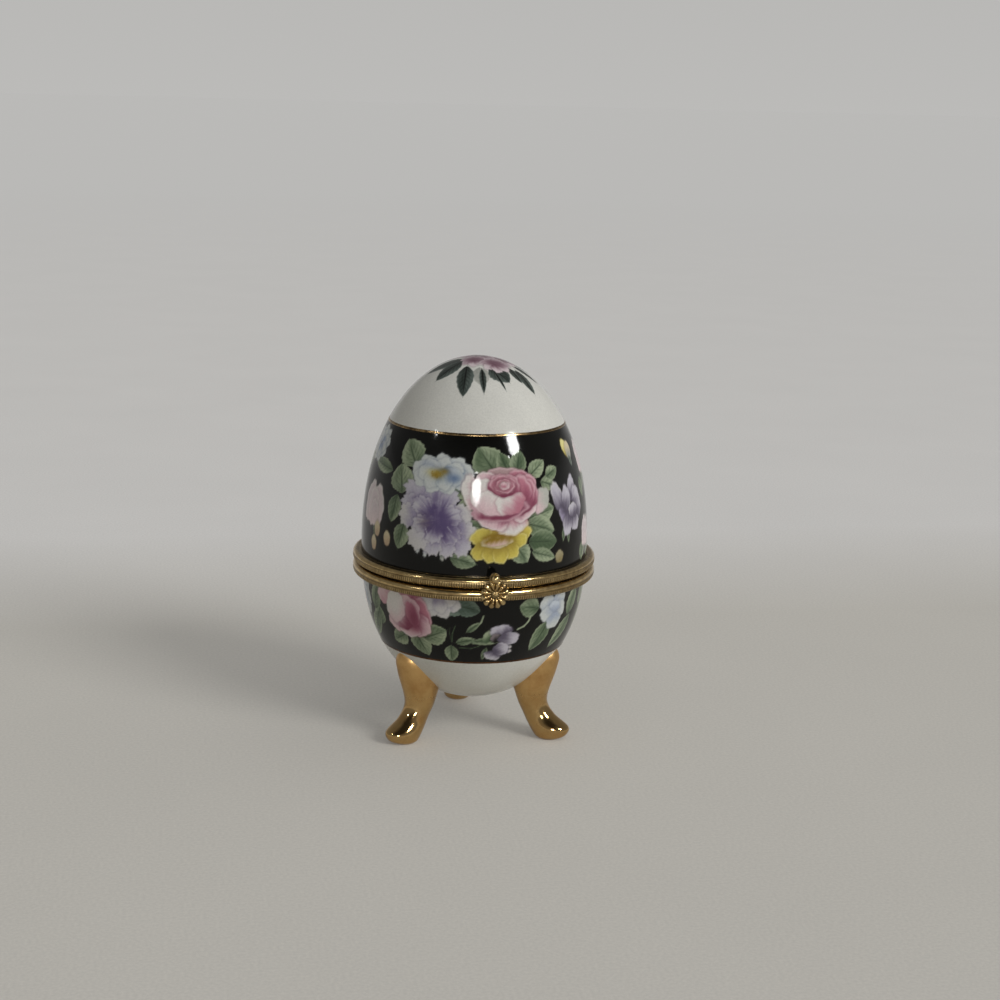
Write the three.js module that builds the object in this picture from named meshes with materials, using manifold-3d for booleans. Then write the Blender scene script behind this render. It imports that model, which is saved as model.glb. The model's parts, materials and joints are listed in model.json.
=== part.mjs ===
// A hinged porcelain egg box: two porcelain shells in brass bezels, a three-knuckle hinge
// behind, a sprung flower clasp in front and three gilded cabriole legs.
// Millimetres, +Z up. The origin is on the floor under the egg's axis. The clasp faces -Y
// and the hinge is at +Y. Heights named "level" are counted from the parting plane.
import * as THREE from "three";
import { mergeVertices } from "three/addons/utils/BufferGeometryUtils.js";
import Module from "manifold-3d";

const wasm = await Module();
wasm.setup();

// Egg
const PARTING_HEIGHT = 42; // floor to the plane where lid and base meet
const EGG_RADIUS = 27.05; // outside of the porcelain at its widest circle
const WIDEST_LEVEL = 4; // where that circle lies
const CROWN_RISE = 45.1; // widest circle to the apex
const BOWL_DROP = 37.7; // widest circle to the underside
const CROWN_FULLNESS = 2.2; // 2 is an ellipse, more is fuller
const BOWL_FULLNESS = 2.38;
const WALL = 2.4; // porcelain wall
const FIT = 0.1; // joint between pieces that are cemented or soldered
const LATHE_SIDES = 60;

// Bezels, the two brass rings that hold the porcelain rims
const BEZEL_GAP = 0.3; // daylight between the closed rings
const BEAD_PROUD = 1.9; // how far a ring stands out from its seat on the porcelain
const BEAD_ROOT = 0.5; // metal between the seat and the start of the bead's curve
const BEAD_FULLNESS = 2.6; // 2 is a half-round bead, more is flatter
const LID_BEZEL_HEIGHT = 2.5;
const BASE_BEZEL_HEIGHT = 2.7;
const BEZEL_WEB = 0.5; // flat floor of the channel
const COLLAR_WALL = 0.45; // inner wall of the channel
const COLLAR_HEIGHT = 2.0;
const COLLAR_CLEARANCE = 0.25; // collar to the inside of the porcelain
const CEMENT_BED = 0.4; // between the channel's floor and the porcelain rim
const LIP_RISE = 0.8; // locating lip of the base ring, above the parting plane
const LIP_WALL = 0.5;
const LIP_CLEARANCE = 0.25;

// Hinge
const PIN_RADIUS = 0.55;
const PIN_CLEARANCE = 0.08;
const PIN_HEAD_RADIUS = 0.9;
const PIN_HEAD_LENGTH = 0.45;
const BARREL_RADIUS = 1.25;
const BARREL_CLEARANCE = 0.25; // barrel to the bezels
const LID_KNUCKLE = 3.8; // lengths along the pin
const BASE_KNUCKLE = 3.4;
const KNUCKLE_GAP = 0.15;
const LEAF_THICKNESS = 0.6;
const LEAF_SPREAD = 2.5; // each leaf's reach above or below the parting plane
const LEAF_START = 0.2; // each leaf's near edge, from the parting plane
const HEEL_REACH = 0.75; // stop heel, past the barrel
const HEEL_THICKNESS = 0.7;
const STOP_GAP = 0.05; // left between heel and leaf with the lid fully open
const OPEN_ANGLE = 105; // degrees

// Clasp
const TAB_CLEARANCE = 0.3; // tab to the bezels
const TAB_THICKNESS = 0.55;
const TAB_TOP_RADIUS = 1.15;
const TAB_FOOT_RADIUS = 1.9;
const BEAD_LEVEL = 3.1;
const BEAD_RADIUS = 1.05;
const RIVET_LEVEL = 1.35;
const RIVET_RADIUS = 0.5;
const RIVET_DEPTH = 1.0; // into the lid ring
const RIVET_CLEARANCE = 0.12;
const STUD_LEVEL = -1.4;
const STUD_SHANK_RADIUS = 0.4;
const STUD_DEPTH = 1.0; // into the base ring
const STUD_HEAD_RADIUS = 0.7;
const STUD_HEAD_HEIGHT = 0.6;
const STUD_CLEARANCE = 0.25; // stud head in the tab's hole
const FLOWER_LEVEL = -0.65;
const FLOWER_RADIUS = 3.3;
const FLOWER_NOTCH = 0.45; // depth of the notches between petal tips
const FLOWER_BOSS_RADIUS = 0.85;
const FLOWER_DEPTH = 1.0;
const FLOWER_EDGE = 0.35; // thickness at the petal tips
const PETALS = 12;

// Legs: inner and outer edges are counted outwards from the bowl's radius at LEG_TOP_LEVEL
const FRONT_LEG_TURN = 58; // degrees from the clasp to each front leg
const LEG_TOP_LEVEL = -18.8; // where a leg ends inside the bowl's wall
const LEG_SINK = 1; // how far a leg's top lies under the porcelain's skin
const LEG_TOP_IN = -13.6;
const LEG_TOP_WIDTH = 5.4;
const HIP_LEVEL = -21.6;
const HIP_IN = -13.2;
const HIP_OUT = 0;
const HIP_WIDTH = 9.4;
const SHOULDER_LEVEL = -24.8;
const SHOULDER_IN = -12.6;
const SHOULDER_OUT = -0.55;
const SHOULDER_WIDTH = 9.6;
const ANKLE_HEIGHT = 8.8; // from the floor, as are the four below
const ANKLE_IN = -10;
const ANKLE_OUT = -2.7;
const ANKLE_WIDTH = 7;
const INSTEP_HEIGHT = 5.6;
const INSTEP_IN = -8.5;
const INSTEP_OUT = -0.6;
const INSTEP_WIDTH = 6.2;
const TOE_HEIGHT = 2.7;
const TOE_IN = -6.9;
const TOE_OUT = 3.2;
const TOE_WIDTH = 7.2;
const BALL_HEIGHT = 1.1; // where the blunt toe turns in to the sole
const BALL_IN = -5.8;
const BALL_OUT = 2.7;
const BALL_WIDTH = 6.9;
const PAD_IN = -4.9; // flat sole on the floor
const PAD_OUT = 1.2;
const PAD_WIDTH = 5.9;
const LEG_RINGS = 21;
const LEG_SIDES = 16;
const LUTE_GAP = 0.12; // slip joint between leg and bowl

// Sizes that follow from those above
const SEAT_RADIUS = EGG_RADIUS + FIT;
const RING_RADIUS = SEAT_RADIUS + BEAD_PROUD;
const RING_NEAR = BEZEL_GAP / 2;
const RIM_LEVEL = RING_NEAR + BEZEL_WEB + CEMENT_BED;
const HINGE_Y = RING_RADIUS + BARREL_CLEARANCE + BARREL_RADIUS;
const LEAF_HALF = LID_KNUCKLE / 2 + KNUCKLE_GAP + BASE_KNUCKLE;
const BORE_RADIUS = PIN_RADIUS + PIN_CLEARANCE;
const TAB_BACK = RING_RADIUS + TAB_CLEARANCE;
const TAB_FRONT = TAB_BACK + TAB_THICKNESS;
const OVERCUT = 1; // how far a cutting tool runs past the face it cuts

const PORCELAIN = { color: 0xece9df, roughness: 0.12, metalness: 0 };
const GILDING = { color: 0xb98a35, roughness: 0.15, metalness: 1 };
const BRASS = { color: 0x9a7b3f, roughness: 0.3, metalness: 1 };
const CEMENT = { color: 0xcfc9b8, roughness: 0.9, metalness: 0 };

const box = new THREE.Group();

function addPiece(name, geometry, look, level = 0) {
  const piece = new THREE.Mesh(geometry, new THREE.MeshStandardMaterial(look));
  piece.name = name;
  piece.position.z = level;
  box.add(piece);
}

// Solids for joining and cutting
function toSolid(geometry) {
  const bare = geometry.clone();
  bare.deleteAttribute("normal");
  bare.deleteAttribute("uv");
  const merged = mergeVertices(bare, 1e-4);
  return new wasm.Manifold(
    new wasm.Mesh({
      numProp: 3,
      vertProperties: new Float32Array(merged.attributes.position.array),
      triVerts: new Uint32Array(merged.index.array),
    }),
  );
}

function toGeometry(solid) {
  const mesh = solid.getMesh();
  return new THREE.BufferGeometry()
    .setAttribute("position", new THREE.BufferAttribute(mesh.vertProperties, 3))
    .setIndex(new THREE.BufferAttribute(mesh.triVerts, 1));
}

// Turns a list of [radius, level] points about the Z axis
function turned(points, sides = LATHE_SIDES) {
  const profile = points.map(([radius, level]) => new THREE.Vector2(radius, level));
  return new THREE.LatheGeometry(profile, sides).rotateX(Math.PI / 2);
}

// Turns [radius, distance] points about an axis that points to the front, -Y
function turnedFrontward(points, level, sides) {
  const profile = points.map(([radius, distance]) => new THREE.Vector2(radius, distance));
  return new THREE.LatheGeometry(profile, sides).rotateX(Math.PI).translate(0, 0, level);
}

// A round bar along X between two places, centred on the hinge axis
function hingeBar(radius, from, to, sides = 24) {
  return new THREE.CylinderGeometry(radius, radius, to - from, sides)
    .rotateZ(Math.PI / 2)
    .translate((from + to) / 2, HINGE_Y, 0);
}

// Egg outline: turn runs from -90 degrees at the underside to 90 degrees at the apex
function eggPoint(turn) {
  const share = Math.sin(turn);
  const crown = share >= 0;
  const level = WIDEST_LEVEL + share * (crown ? CROWN_RISE : BOWL_DROP);
  const fullness = crown ? CROWN_FULLNESS : BOWL_FULLNESS;
  return [EGG_RADIUS * Math.sqrt(Math.max(0, 1 - Math.abs(share) ** fullness)), level];
}

function turnAt(level) {
  const span = level >= WIDEST_LEVEL ? CROWN_RISE : BOWL_DROP;
  return Math.asin((level - WIDEST_LEVEL) / span);
}

// The outline moved inwards along its normal, or outwards where inset is negative
function insetPoint(turn, inset) {
  const STEP = 1e-4;
  const [radius, level] = eggPoint(turn);
  const [r0, l0] = eggPoint(turn - STEP);
  const [r1, l1] = eggPoint(Math.min(turn + STEP, Math.PI / 2));
  const length = Math.hypot(r1 - r0, l1 - l0);
  return [radius - (inset * (l1 - l0)) / length, level + (inset * (r1 - r0)) / length];
}

// Points from a rim level to a pole, the last one on the axis
function eggCurve(rimLevel, pole, inset, steps) {
  const start = turnAt(rimLevel);
  const points = [[insetPoint(start, inset)[0], rimLevel]];
  for (let i = 1; i < steps; i++) {
    points.push(insetPoint(start + ((pole - start) * i) / steps, inset));
  }
  const poleLevel = eggPoint(pole)[1];
  points.push([0, poleLevel - Math.sign(pole) * inset]);
  return points;
}

const APEX = Math.PI / 2;
const COLLAR_END = RING_NEAR + COLLAR_HEIGHT;
const LID_COLLAR_OUTER = insetPoint(turnAt(RIM_LEVEL), WALL)[0] - COLLAR_CLEARANCE;
const LID_COLLAR_INNER = LID_COLLAR_OUTER - COLLAR_WALL;
const BASE_COLLAR_OUTER = insetPoint(turnAt(-COLLAR_END), WALL)[0] - COLLAR_CLEARANCE;
const LIP_OUTER = LID_COLLAR_INNER - LIP_CLEARANCE;
const LIP_INNER = LIP_OUTER - LIP_WALL;

// Porcelain
function lidShell() {
  const outside = eggCurve(RIM_LEVEL, APEX, 0, 12);
  const inside = eggCurve(RIM_LEVEL, APEX, WALL, 8);
  return turned([...inside.reverse(), ...outside]);
}

function baseShell() {
  const outside = eggCurve(-RIM_LEVEL, -APEX, 0, 10);
  const inside = eggCurve(-RIM_LEVEL, -APEX, WALL, 8);
  return turned([...outside.reverse(), ...inside]);
}

// The bead's curve from its lower end to its upper end
function beadCurve(low, high) {
  const STEPS = 6;
  const root = SEAT_RADIUS + BEAD_ROOT;
  const points = [];
  for (let i = 0; i <= STEPS; i++) {
    const angle = -Math.PI / 2 + (Math.PI * i) / STEPS;
    const across = Math.abs(Math.cos(angle)) ** (2 / BEAD_FULLNESS);
    const along = Math.sign(Math.sin(angle)) * Math.abs(Math.sin(angle)) ** (2 / BEAD_FULLNESS);
    points.push([root + (RING_RADIUS - root) * across, (low + high) / 2 + ((high - low) / 2) * along]);
  }
  return points;
}

// A hole drilled straight back into the front of a ring
function drillFront(ring, radius, depth, level) {
  const length = depth + FIT + OVERCUT;
  const tool = new THREE.CylinderGeometry(radius, radius, length, 16);
  tool.translate(0, -(RING_RADIUS - depth - FIT) - length / 2, level);
  return toGeometry(toSolid(ring).subtract(toSolid(tool)));
}

function lidBezel() {
  const top = RING_NEAR + LID_BEZEL_HEIGHT;
  const floor = RING_NEAR + BEZEL_WEB;
  const ring = turned([
    [LID_COLLAR_INNER, RING_NEAR],
    ...beadCurve(RING_NEAR, top),
    [SEAT_RADIUS, top],
    [SEAT_RADIUS, floor],
    [LID_COLLAR_OUTER, floor],
    [LID_COLLAR_OUTER, COLLAR_END],
    [LID_COLLAR_INNER, COLLAR_END],
    [LID_COLLAR_INNER, RING_NEAR],
  ]);
  return drillFront(ring, RIVET_RADIUS + RIVET_CLEARANCE, RIVET_DEPTH, RIVET_LEVEL);
}

function baseBezel() {
  const bottom = -RING_NEAR - BASE_BEZEL_HEIGHT;
  const floor = -RING_NEAR - BEZEL_WEB;
  const ring = turned([
    [LIP_INNER, -COLLAR_END],
    [BASE_COLLAR_OUTER, -COLLAR_END],
    [BASE_COLLAR_OUTER, floor],
    [SEAT_RADIUS, floor],
    [SEAT_RADIUS, bottom],
    ...beadCurve(bottom, -RING_NEAR),
    [LIP_OUTER, -RING_NEAR],
    [LIP_OUTER, LIP_RISE],
    [LIP_INNER, LIP_RISE],
    [LIP_INNER, -COLLAR_END],
  ]);
  return drillFront(ring, STUD_SHANK_RADIUS + FIT, STUD_DEPTH, STUD_LEVEL);
}

// The cement between a channel's floor and the porcelain rim; side is 1 for the lid, -1 for the base
function cementBed(collarOuter, side) {
  const SKIN = FIT / 2;
  const near = side * (RING_NEAR + BEZEL_WEB + SKIN);
  const far = side * (RIM_LEVEL - SKIN);
  const [low, high] = [Math.min(near, far), Math.max(near, far)];
  const [inner, outer] = [collarOuter + FIT, SEAT_RADIUS - FIT];
  return turned([
    [inner, low],
    [outer, low],
    [outer, high],
    [inner, high],
    [inner, low],
  ]);
}

// Hinge: each leaf is a plate behind its bezel with rolled knuckles
function leafPlate(side) {
  const height = LEAF_SPREAD - LEAF_START;
  return new THREE.BoxGeometry(2 * LEAF_HALF, LEAF_THICKNESS, height).translate(
    0,
    RING_RADIUS + FIT + LEAF_THICKNESS / 2,
    side * (LEAF_START + height / 2),
  );
}

function baseKnuckleSpans() {
  const near = LID_KNUCKLE / 2 + KNUCKLE_GAP;
  return [
    [-LEAF_HALF, -near],
    [near, LEAF_HALF],
  ];
}

function bore() {
  return toSolid(hingeBar(BORE_RADIUS, -LEAF_HALF - OVERCUT, LEAF_HALF + OVERCUT, 16));
}

function hingeLeafBase() {
  const relief = LID_KNUCKLE / 2 + KNUCKLE_GAP;
  let leaf = toSolid(leafPlate(-1));
  leaf = leaf.subtract(toSolid(hingeBar(BARREL_RADIUS + KNUCKLE_GAP, -relief, relief)));
  for (const [from, to] of baseKnuckleSpans()) {
    leaf = leaf.add(toSolid(hingeBar(BARREL_RADIUS, from, to)));
  }
  return toGeometry(leaf.subtract(bore()));
}

// The stop heel points so that it meets the base leaf's back face at the open angle
function stopHeel() {
  const reach = BARREL_RADIUS + HEEL_REACH;
  const half = HEEL_THICKNESS / 2;
  const leafBack = HINGE_Y - (RING_RADIUS + FIT + LEAF_THICKNESS) - STOP_GAP;
  const past = Math.asin(leafBack / Math.hypot(reach, half)) - Math.atan2(half, reach);
  const direction = THREE.MathUtils.degToRad(OPEN_ANGLE) - Math.PI / 2 - past;
  const root = (BORE_RADIUS + BARREL_RADIUS) / 2;
  return new THREE.BoxGeometry(LID_KNUCKLE, reach - root, HEEL_THICKNESS)
    .translate(0, (root + reach) / 2, 0)
    .rotateX(direction)
    .translate(0, HINGE_Y, 0);
}

function hingeLeafLid() {
  let leaf = toSolid(leafPlate(1));
  for (const [from, to] of baseKnuckleSpans()) {
    const start = from < 0 ? from - OVERCUT : from - KNUCKLE_GAP;
    const end = from < 0 ? to + KNUCKLE_GAP : to + OVERCUT;
    leaf = leaf.subtract(toSolid(hingeBar(BARREL_RADIUS + KNUCKLE_GAP, start, end)));
  }
  leaf = leaf.add(toSolid(hingeBar(BARREL_RADIUS, -LID_KNUCKLE / 2, LID_KNUCKLE / 2)));
  return toGeometry(leaf.add(toSolid(stopHeel())).subtract(bore()));
}

function hingePin() {
  const inner = LEAF_HALF + FIT;
  const outer = inner + PIN_HEAD_LENGTH;
  const domed = [
    [0, -outer],
    [PIN_HEAD_RADIUS * 0.6, -outer],
    [PIN_HEAD_RADIUS, -(inner + outer) / 2],
    [PIN_HEAD_RADIUS, -inner],
    [PIN_RADIUS, -inner],
  ];
  const mirrored = domed.map(([radius, along]) => [radius, -along]).reverse();
  return turned([...domed, ...mirrored], 16)
    .rotateY(Math.PI / 2)
    .translate(0, HINGE_Y, 0);
}

// Clasp
function claspTab() {
  const outline = new THREE.Shape();
  outline.moveTo(-TAB_TOP_RADIUS, BEAD_LEVEL);
  outline.absarc(0, BEAD_LEVEL, TAB_TOP_RADIUS, Math.PI, 0, true);
  outline.lineTo(TAB_FOOT_RADIUS, STUD_LEVEL);
  outline.absarc(0, STUD_LEVEL, TAB_FOOT_RADIUS, 0, Math.PI, true);
  const holes = [
    [RIVET_LEVEL, RIVET_RADIUS + RIVET_CLEARANCE],
    [STUD_LEVEL, STUD_HEAD_RADIUS + STUD_CLEARANCE],
  ];
  for (const [level, radius] of holes) {
    outline.holes.push(new THREE.Path().absarc(0, level, radius, 0, 2 * Math.PI));
  }
  return new THREE.ExtrudeGeometry(outline, {
    depth: TAB_THICKNESS,
    bevelEnabled: false,
    curveSegments: 8,
  })
    .rotateX(Math.PI / 2)
    .translate(0, -TAB_BACK, 0);
}

// A rivet from the lid ring to just under the tab's front face
function claspRivet() {
  const start = RING_RADIUS - RIVET_DEPTH;
  const end = TAB_FRONT - FIT;
  return turnedFrontward(
    [
      [0, start],
      [RIVET_RADIUS, start],
      [RIVET_RADIUS, end],
      [0, end],
    ],
    RIVET_LEVEL,
    12,
  );
}

// A ball on a short flat seat, soldered to the tab's front
function claspBead() {
  const STEPS = 7;
  const SEAT_ANGLE = Math.PI / 5; // half-angle of the flat at the back of the ball
  const seat = TAB_FRONT + FIT;
  const centre = seat + BEAD_RADIUS * Math.cos(SEAT_ANGLE);
  const points = [[0, seat]];
  for (let i = 0; i < STEPS; i++) {
    const angle = SEAT_ANGLE + ((Math.PI - SEAT_ANGLE) * i) / STEPS;
    points.push([BEAD_RADIUS * Math.sin(angle), centre - BEAD_RADIUS * Math.cos(angle)]);
  }
  points.push([0, centre + BEAD_RADIUS]);
  return turnedFrontward(points, BEAD_LEVEL, 14);
}

// The stud that the tab snaps over, with a domed head inside the tab's hole
function claspStud() {
  const face = RING_RADIUS + FIT;
  const rim = face + STUD_HEAD_HEIGHT * 0.4;
  const tip = face + STUD_HEAD_HEIGHT;
  return turnedFrontward(
    [
      [0, RING_RADIUS - STUD_DEPTH],
      [STUD_SHANK_RADIUS, RING_RADIUS - STUD_DEPTH],
      [STUD_SHANK_RADIUS, face],
      [STUD_HEAD_RADIUS, face],
      [STUD_HEAD_RADIUS, rim],
      [STUD_HEAD_RADIUS * 0.7, (rim + 2 * tip) / 3],
      [0, tip],
    ],
    STUD_LEVEL,
    12,
  );
}

// A daisy: ridged petals round a domed boss, with a flat back
function claspFlower() {
  const spokes = 2 * PETALS;
  const groove = FLOWER_BOSS_RADIUS * 1.25;
  const middle = (groove + FLOWER_RADIUS) / 2;
  const valley = (FLOWER_EDGE + FLOWER_DEPTH) / 2.4;
  // Each ring: [radius on a ridge, radius in a notch, depth on a ridge, depth in a notch]
  const rings = [
    [FLOWER_RADIUS, FLOWER_RADIUS - FLOWER_NOTCH, 0, 0],
    [FLOWER_RADIUS, FLOWER_RADIUS - FLOWER_NOTCH, FLOWER_EDGE, FLOWER_EDGE],
    [middle, middle, FLOWER_DEPTH * 0.9, valley],
    [groove, groove, valley, valley],
    [FLOWER_BOSS_RADIUS, FLOWER_BOSS_RADIUS, FLOWER_DEPTH * 0.85, FLOWER_DEPTH * 0.85],
  ];
  const places = [0, 0, 0];
  for (const [ridgeRadius, notchRadius, ridgeDepth, notchDepth] of rings) {
    for (let k = 0; k < spokes; k++) {
      const angle = (2 * Math.PI * (k + 1)) / spokes;
      const ridge = k % 2 === 0;
      const radius = ridge ? ridgeRadius : notchRadius;
      const depth = ridge ? ridgeDepth : notchDepth;
      places.push(radius * Math.cos(angle), -depth, radius * Math.sin(angle));
    }
  }
  places.push(0, -FLOWER_DEPTH, 0);
  const spot = (ring, k) => 1 + ring * spokes + (k % spokes);
  const front = 1 + rings.length * spokes;
  const faces = [];
  for (let k = 0; k < spokes; k++) {
    faces.push(0, spot(0, k + 1), spot(0, k));
    for (let ring = 0; ring + 1 < rings.length; ring++) {
      faces.push(spot(ring, k), spot(ring, k + 1), spot(ring + 1, k));
      faces.push(spot(ring, k + 1), spot(ring + 1, k + 1), spot(ring + 1, k));
    }
    faces.push(spot(rings.length - 1, k), spot(rings.length - 1, k + 1), front);
  }
  return new THREE.BufferGeometry()
    .setAttribute("position", new THREE.Float32BufferAttribute(places, 3))
    .setIndex(faces)
    .translate(0, -TAB_FRONT - FIT, FLOWER_LEVEL);
}

// Legs: oval sections from the flat sole up into the bowl
function legStations() {
  const bowl = eggPoint(turnAt(LEG_TOP_LEVEL))[0];
  const stations = [
    [0, PAD_IN, PAD_OUT, PAD_WIDTH],
    [BALL_HEIGHT, BALL_IN, BALL_OUT, BALL_WIDTH],
    [TOE_HEIGHT, TOE_IN, TOE_OUT, TOE_WIDTH],
    [INSTEP_HEIGHT, INSTEP_IN, INSTEP_OUT, INSTEP_WIDTH],
    [ANKLE_HEIGHT, ANKLE_IN, ANKLE_OUT, ANKLE_WIDTH],
    [PARTING_HEIGHT + SHOULDER_LEVEL, SHOULDER_IN, SHOULDER_OUT, SHOULDER_WIDTH],
    [PARTING_HEIGHT + HIP_LEVEL, HIP_IN, HIP_OUT, HIP_WIDTH],
    [PARTING_HEIGHT + LEG_TOP_LEVEL, LEG_TOP_IN, -LEG_SINK, LEG_TOP_WIDTH],
  ];
  return stations.map(([height, inner, outer, width]) => [height, bowl + inner, bowl + outer, width]);
}

function legGeometry() {
  const stations = legStations();
  const edges = new THREE.CatmullRomCurve3(
    stations.map(([height, inner, outer]) => new THREE.Vector3(inner, outer, height)),
    false,
    "centripetal",
  );
  const widths = new THREE.CatmullRomCurve3(
    stations.map(([height, , , width]) => new THREE.Vector3(width, 0, height)),
    false,
    "centripetal",
  );
  const places = [];
  for (let i = 0; i <= LEG_RINGS; i++) {
    const edge = edges.getPoint(i / LEG_RINGS);
    const width = widths.getPoint(i / LEG_RINGS).x;
    for (let k = 0; k < LEG_SIDES; k++) {
      const angle = (2 * Math.PI * k) / LEG_SIDES;
      const radius = (edge.x + edge.y) / 2 + ((edge.y - edge.x) / 2) * Math.cos(angle);
      places.push(radius, (width / 2) * Math.sin(angle), edge.z);
    }
  }
  const spot = (ring, k) => ring * LEG_SIDES + (k % LEG_SIDES);
  const faces = [];
  for (let i = 0; i < LEG_RINGS; i++) {
    for (let k = 0; k < LEG_SIDES; k++) {
      faces.push(spot(i, k), spot(i, k + 1), spot(i + 1, k));
      faces.push(spot(i, k + 1), spot(i + 1, k + 1), spot(i + 1, k));
    }
  }
  for (let k = 1; k + 1 < LEG_SIDES; k++) {
    faces.push(spot(0, 0), spot(0, k + 1), spot(0, k));
    faces.push(spot(LEG_RINGS, 0), spot(LEG_RINGS, k), spot(LEG_RINGS, k + 1));
  }
  return new THREE.BufferGeometry()
    .setAttribute("position", new THREE.Float32BufferAttribute(places, 3))
    .setIndex(faces);
}

// The egg's outside, grown by the slip joint, for cutting the legs to the bowl
function eggCutter() {
  const bowl = eggCurve(WIDEST_LEVEL, -APEX, -LUTE_GAP, 12);
  const crown = eggCurve(WIDEST_LEVEL, APEX, -LUTE_GAP, 12);
  return toSolid(turned([...bowl.reverse(), ...crown.slice(1)]).translate(0, 0, PARTING_HEIGHT));
}

function addLegs() {
  const cutter = eggCutter();
  const turns = { leg_right: FRONT_LEG_TURN, leg_left: -FRONT_LEG_TURN, leg_rear: 180 };
  for (const [name, turn] of Object.entries(turns)) {
    const leg = legGeometry().rotateZ(THREE.MathUtils.degToRad(turn - 90));
    addPiece(name, toGeometry(toSolid(leg).subtract(cutter)), GILDING);
  }
}

addPiece("lid_shell", lidShell(), PORCELAIN, PARTING_HEIGHT);
addPiece("base_shell", baseShell(), PORCELAIN, PARTING_HEIGHT);
addPiece("lid_bezel", lidBezel(), BRASS, PARTING_HEIGHT);
addPiece("base_bezel", baseBezel(), BRASS, PARTING_HEIGHT);
addPiece("lid_cement", cementBed(LID_COLLAR_OUTER, 1), CEMENT, PARTING_HEIGHT);
addPiece("base_cement", cementBed(BASE_COLLAR_OUTER, -1), CEMENT, PARTING_HEIGHT);
addPiece("hinge_leaf_base", hingeLeafBase(), BRASS, PARTING_HEIGHT);
addPiece("hinge_leaf_lid", hingeLeafLid(), BRASS, PARTING_HEIGHT);
addPiece("hinge_pin", hingePin(), BRASS, PARTING_HEIGHT);
addPiece("clasp_tab", claspTab(), BRASS, PARTING_HEIGHT);
addPiece("clasp_rivet", claspRivet(), BRASS, PARTING_HEIGHT);
addPiece("clasp_bead", claspBead(), BRASS, PARTING_HEIGHT);
addPiece("clasp_flower", claspFlower(), BRASS, PARTING_HEIGHT);
addPiece("clasp_stud", claspStud(), BRASS, PARTING_HEIGHT);
addLegs();

export default box;
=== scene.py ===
"""Looks of a hinged porcelain egg box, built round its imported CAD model.

Sizes are in millimetres and become metres where a mesh is made. A level is a height counted
from the plane where lid and base meet. A turn is an angle round the egg from the clasp, in
degrees, positive to the right of someone who faces the clasp.
"""
import json
import math

import bpy
import numpy as np
from mathutils import Matrix, Vector
from mathutils.geometry import tessellate_polygon


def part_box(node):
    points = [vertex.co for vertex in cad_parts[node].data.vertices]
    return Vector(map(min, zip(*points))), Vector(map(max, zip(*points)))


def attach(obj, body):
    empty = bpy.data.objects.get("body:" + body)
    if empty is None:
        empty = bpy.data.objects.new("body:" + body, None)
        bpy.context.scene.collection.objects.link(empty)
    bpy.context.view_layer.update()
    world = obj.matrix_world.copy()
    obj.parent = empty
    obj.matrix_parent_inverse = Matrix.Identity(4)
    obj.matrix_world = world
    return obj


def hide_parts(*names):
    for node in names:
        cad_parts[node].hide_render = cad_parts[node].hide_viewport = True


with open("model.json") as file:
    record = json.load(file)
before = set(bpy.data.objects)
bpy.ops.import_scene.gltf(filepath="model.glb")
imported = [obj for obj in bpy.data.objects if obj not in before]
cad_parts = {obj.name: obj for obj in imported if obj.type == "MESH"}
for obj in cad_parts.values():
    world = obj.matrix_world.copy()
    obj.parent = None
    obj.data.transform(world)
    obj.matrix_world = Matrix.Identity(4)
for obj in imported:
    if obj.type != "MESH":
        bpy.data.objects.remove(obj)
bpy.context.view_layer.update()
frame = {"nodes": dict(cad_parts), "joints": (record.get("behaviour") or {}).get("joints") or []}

# Sizes from the frame
MM = 0.001
JOINTS = {joint["name"]: joint for joint in frame["joints"]}
HINGE_Y = JOINTS["lid_hinge"]["pos_m"][1] / MM
PARTING = JOINTS["lid_hinge"]["pos_m"][2] / MM
OPEN_ANGLE = JOINTS["lid_hinge"]["range_deg"][1]


def level_of(height):
    return height / MM - PARTING


RIM_LEVEL = level_of(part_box("lid_shell")[0].z)
RING_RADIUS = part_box("lid_bezel")[1].x / MM
RING_NEAR = level_of(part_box("lid_bezel")[0].z)
LID_RING_TOP = level_of(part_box("lid_bezel")[1].z)
BASE_RING_END = -level_of(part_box("base_bezel")[0].z)
LIP_RISE = level_of(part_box("base_bezel")[1].z)
TAB_BACK = -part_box("clasp_tab")[1].y / MM
TAB_FRONT = -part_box("clasp_tab")[0].y / MM
LEAF_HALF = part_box("hinge_leaf_base")[1].x / MM
LEAF_SPREAD = level_of(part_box("hinge_leaf_lid")[1].z)
RIVET_LEVEL = level_of(JOINTS["clasp_flex"]["pos_m"][2])

# Egg
EGG_RADIUS = 27.05
WIDEST_LEVEL = 4.0
CROWN_RISE = 45.1
BOWL_DROP = 37.7
CROWN_FULLNESS = 2.2
BOWL_FULLNESS = 2.38
APEX = WIDEST_LEVEL + CROWN_RISE
UNDERSIDE = WIDEST_LEVEL - BOWL_DROP
WALL = 2.4
COLUMNS = 800  # points round a shell
LID_ROWS = 250
BASE_ROWS = 180
INSIDE_ROWS = 30
OUTLINE_STEPS = 4000
ENAMEL = 0.02  # how far the painted flowers stand up from the glaze
ENAMEL_END = (0.5, 2.0)  # distances from the pole between which they sink into it
OUTSIDE_MAP = 0.28  # where the outside starts on the map for baking
INSIDE_MAP = 0.25  # where the inside ends on it
LID_LINE = 34.0  # where the black ground ends, under the gold line
LID_LINE_WIDTH = 0.52
BASE_LINE = -19.3
BASE_LINE_WIDTH = 0.45
LINE_POINTS = 9
LINE_COLUMNS = 320
LINE_RISE = 0.05
LINE_SINK = 0.06

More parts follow.
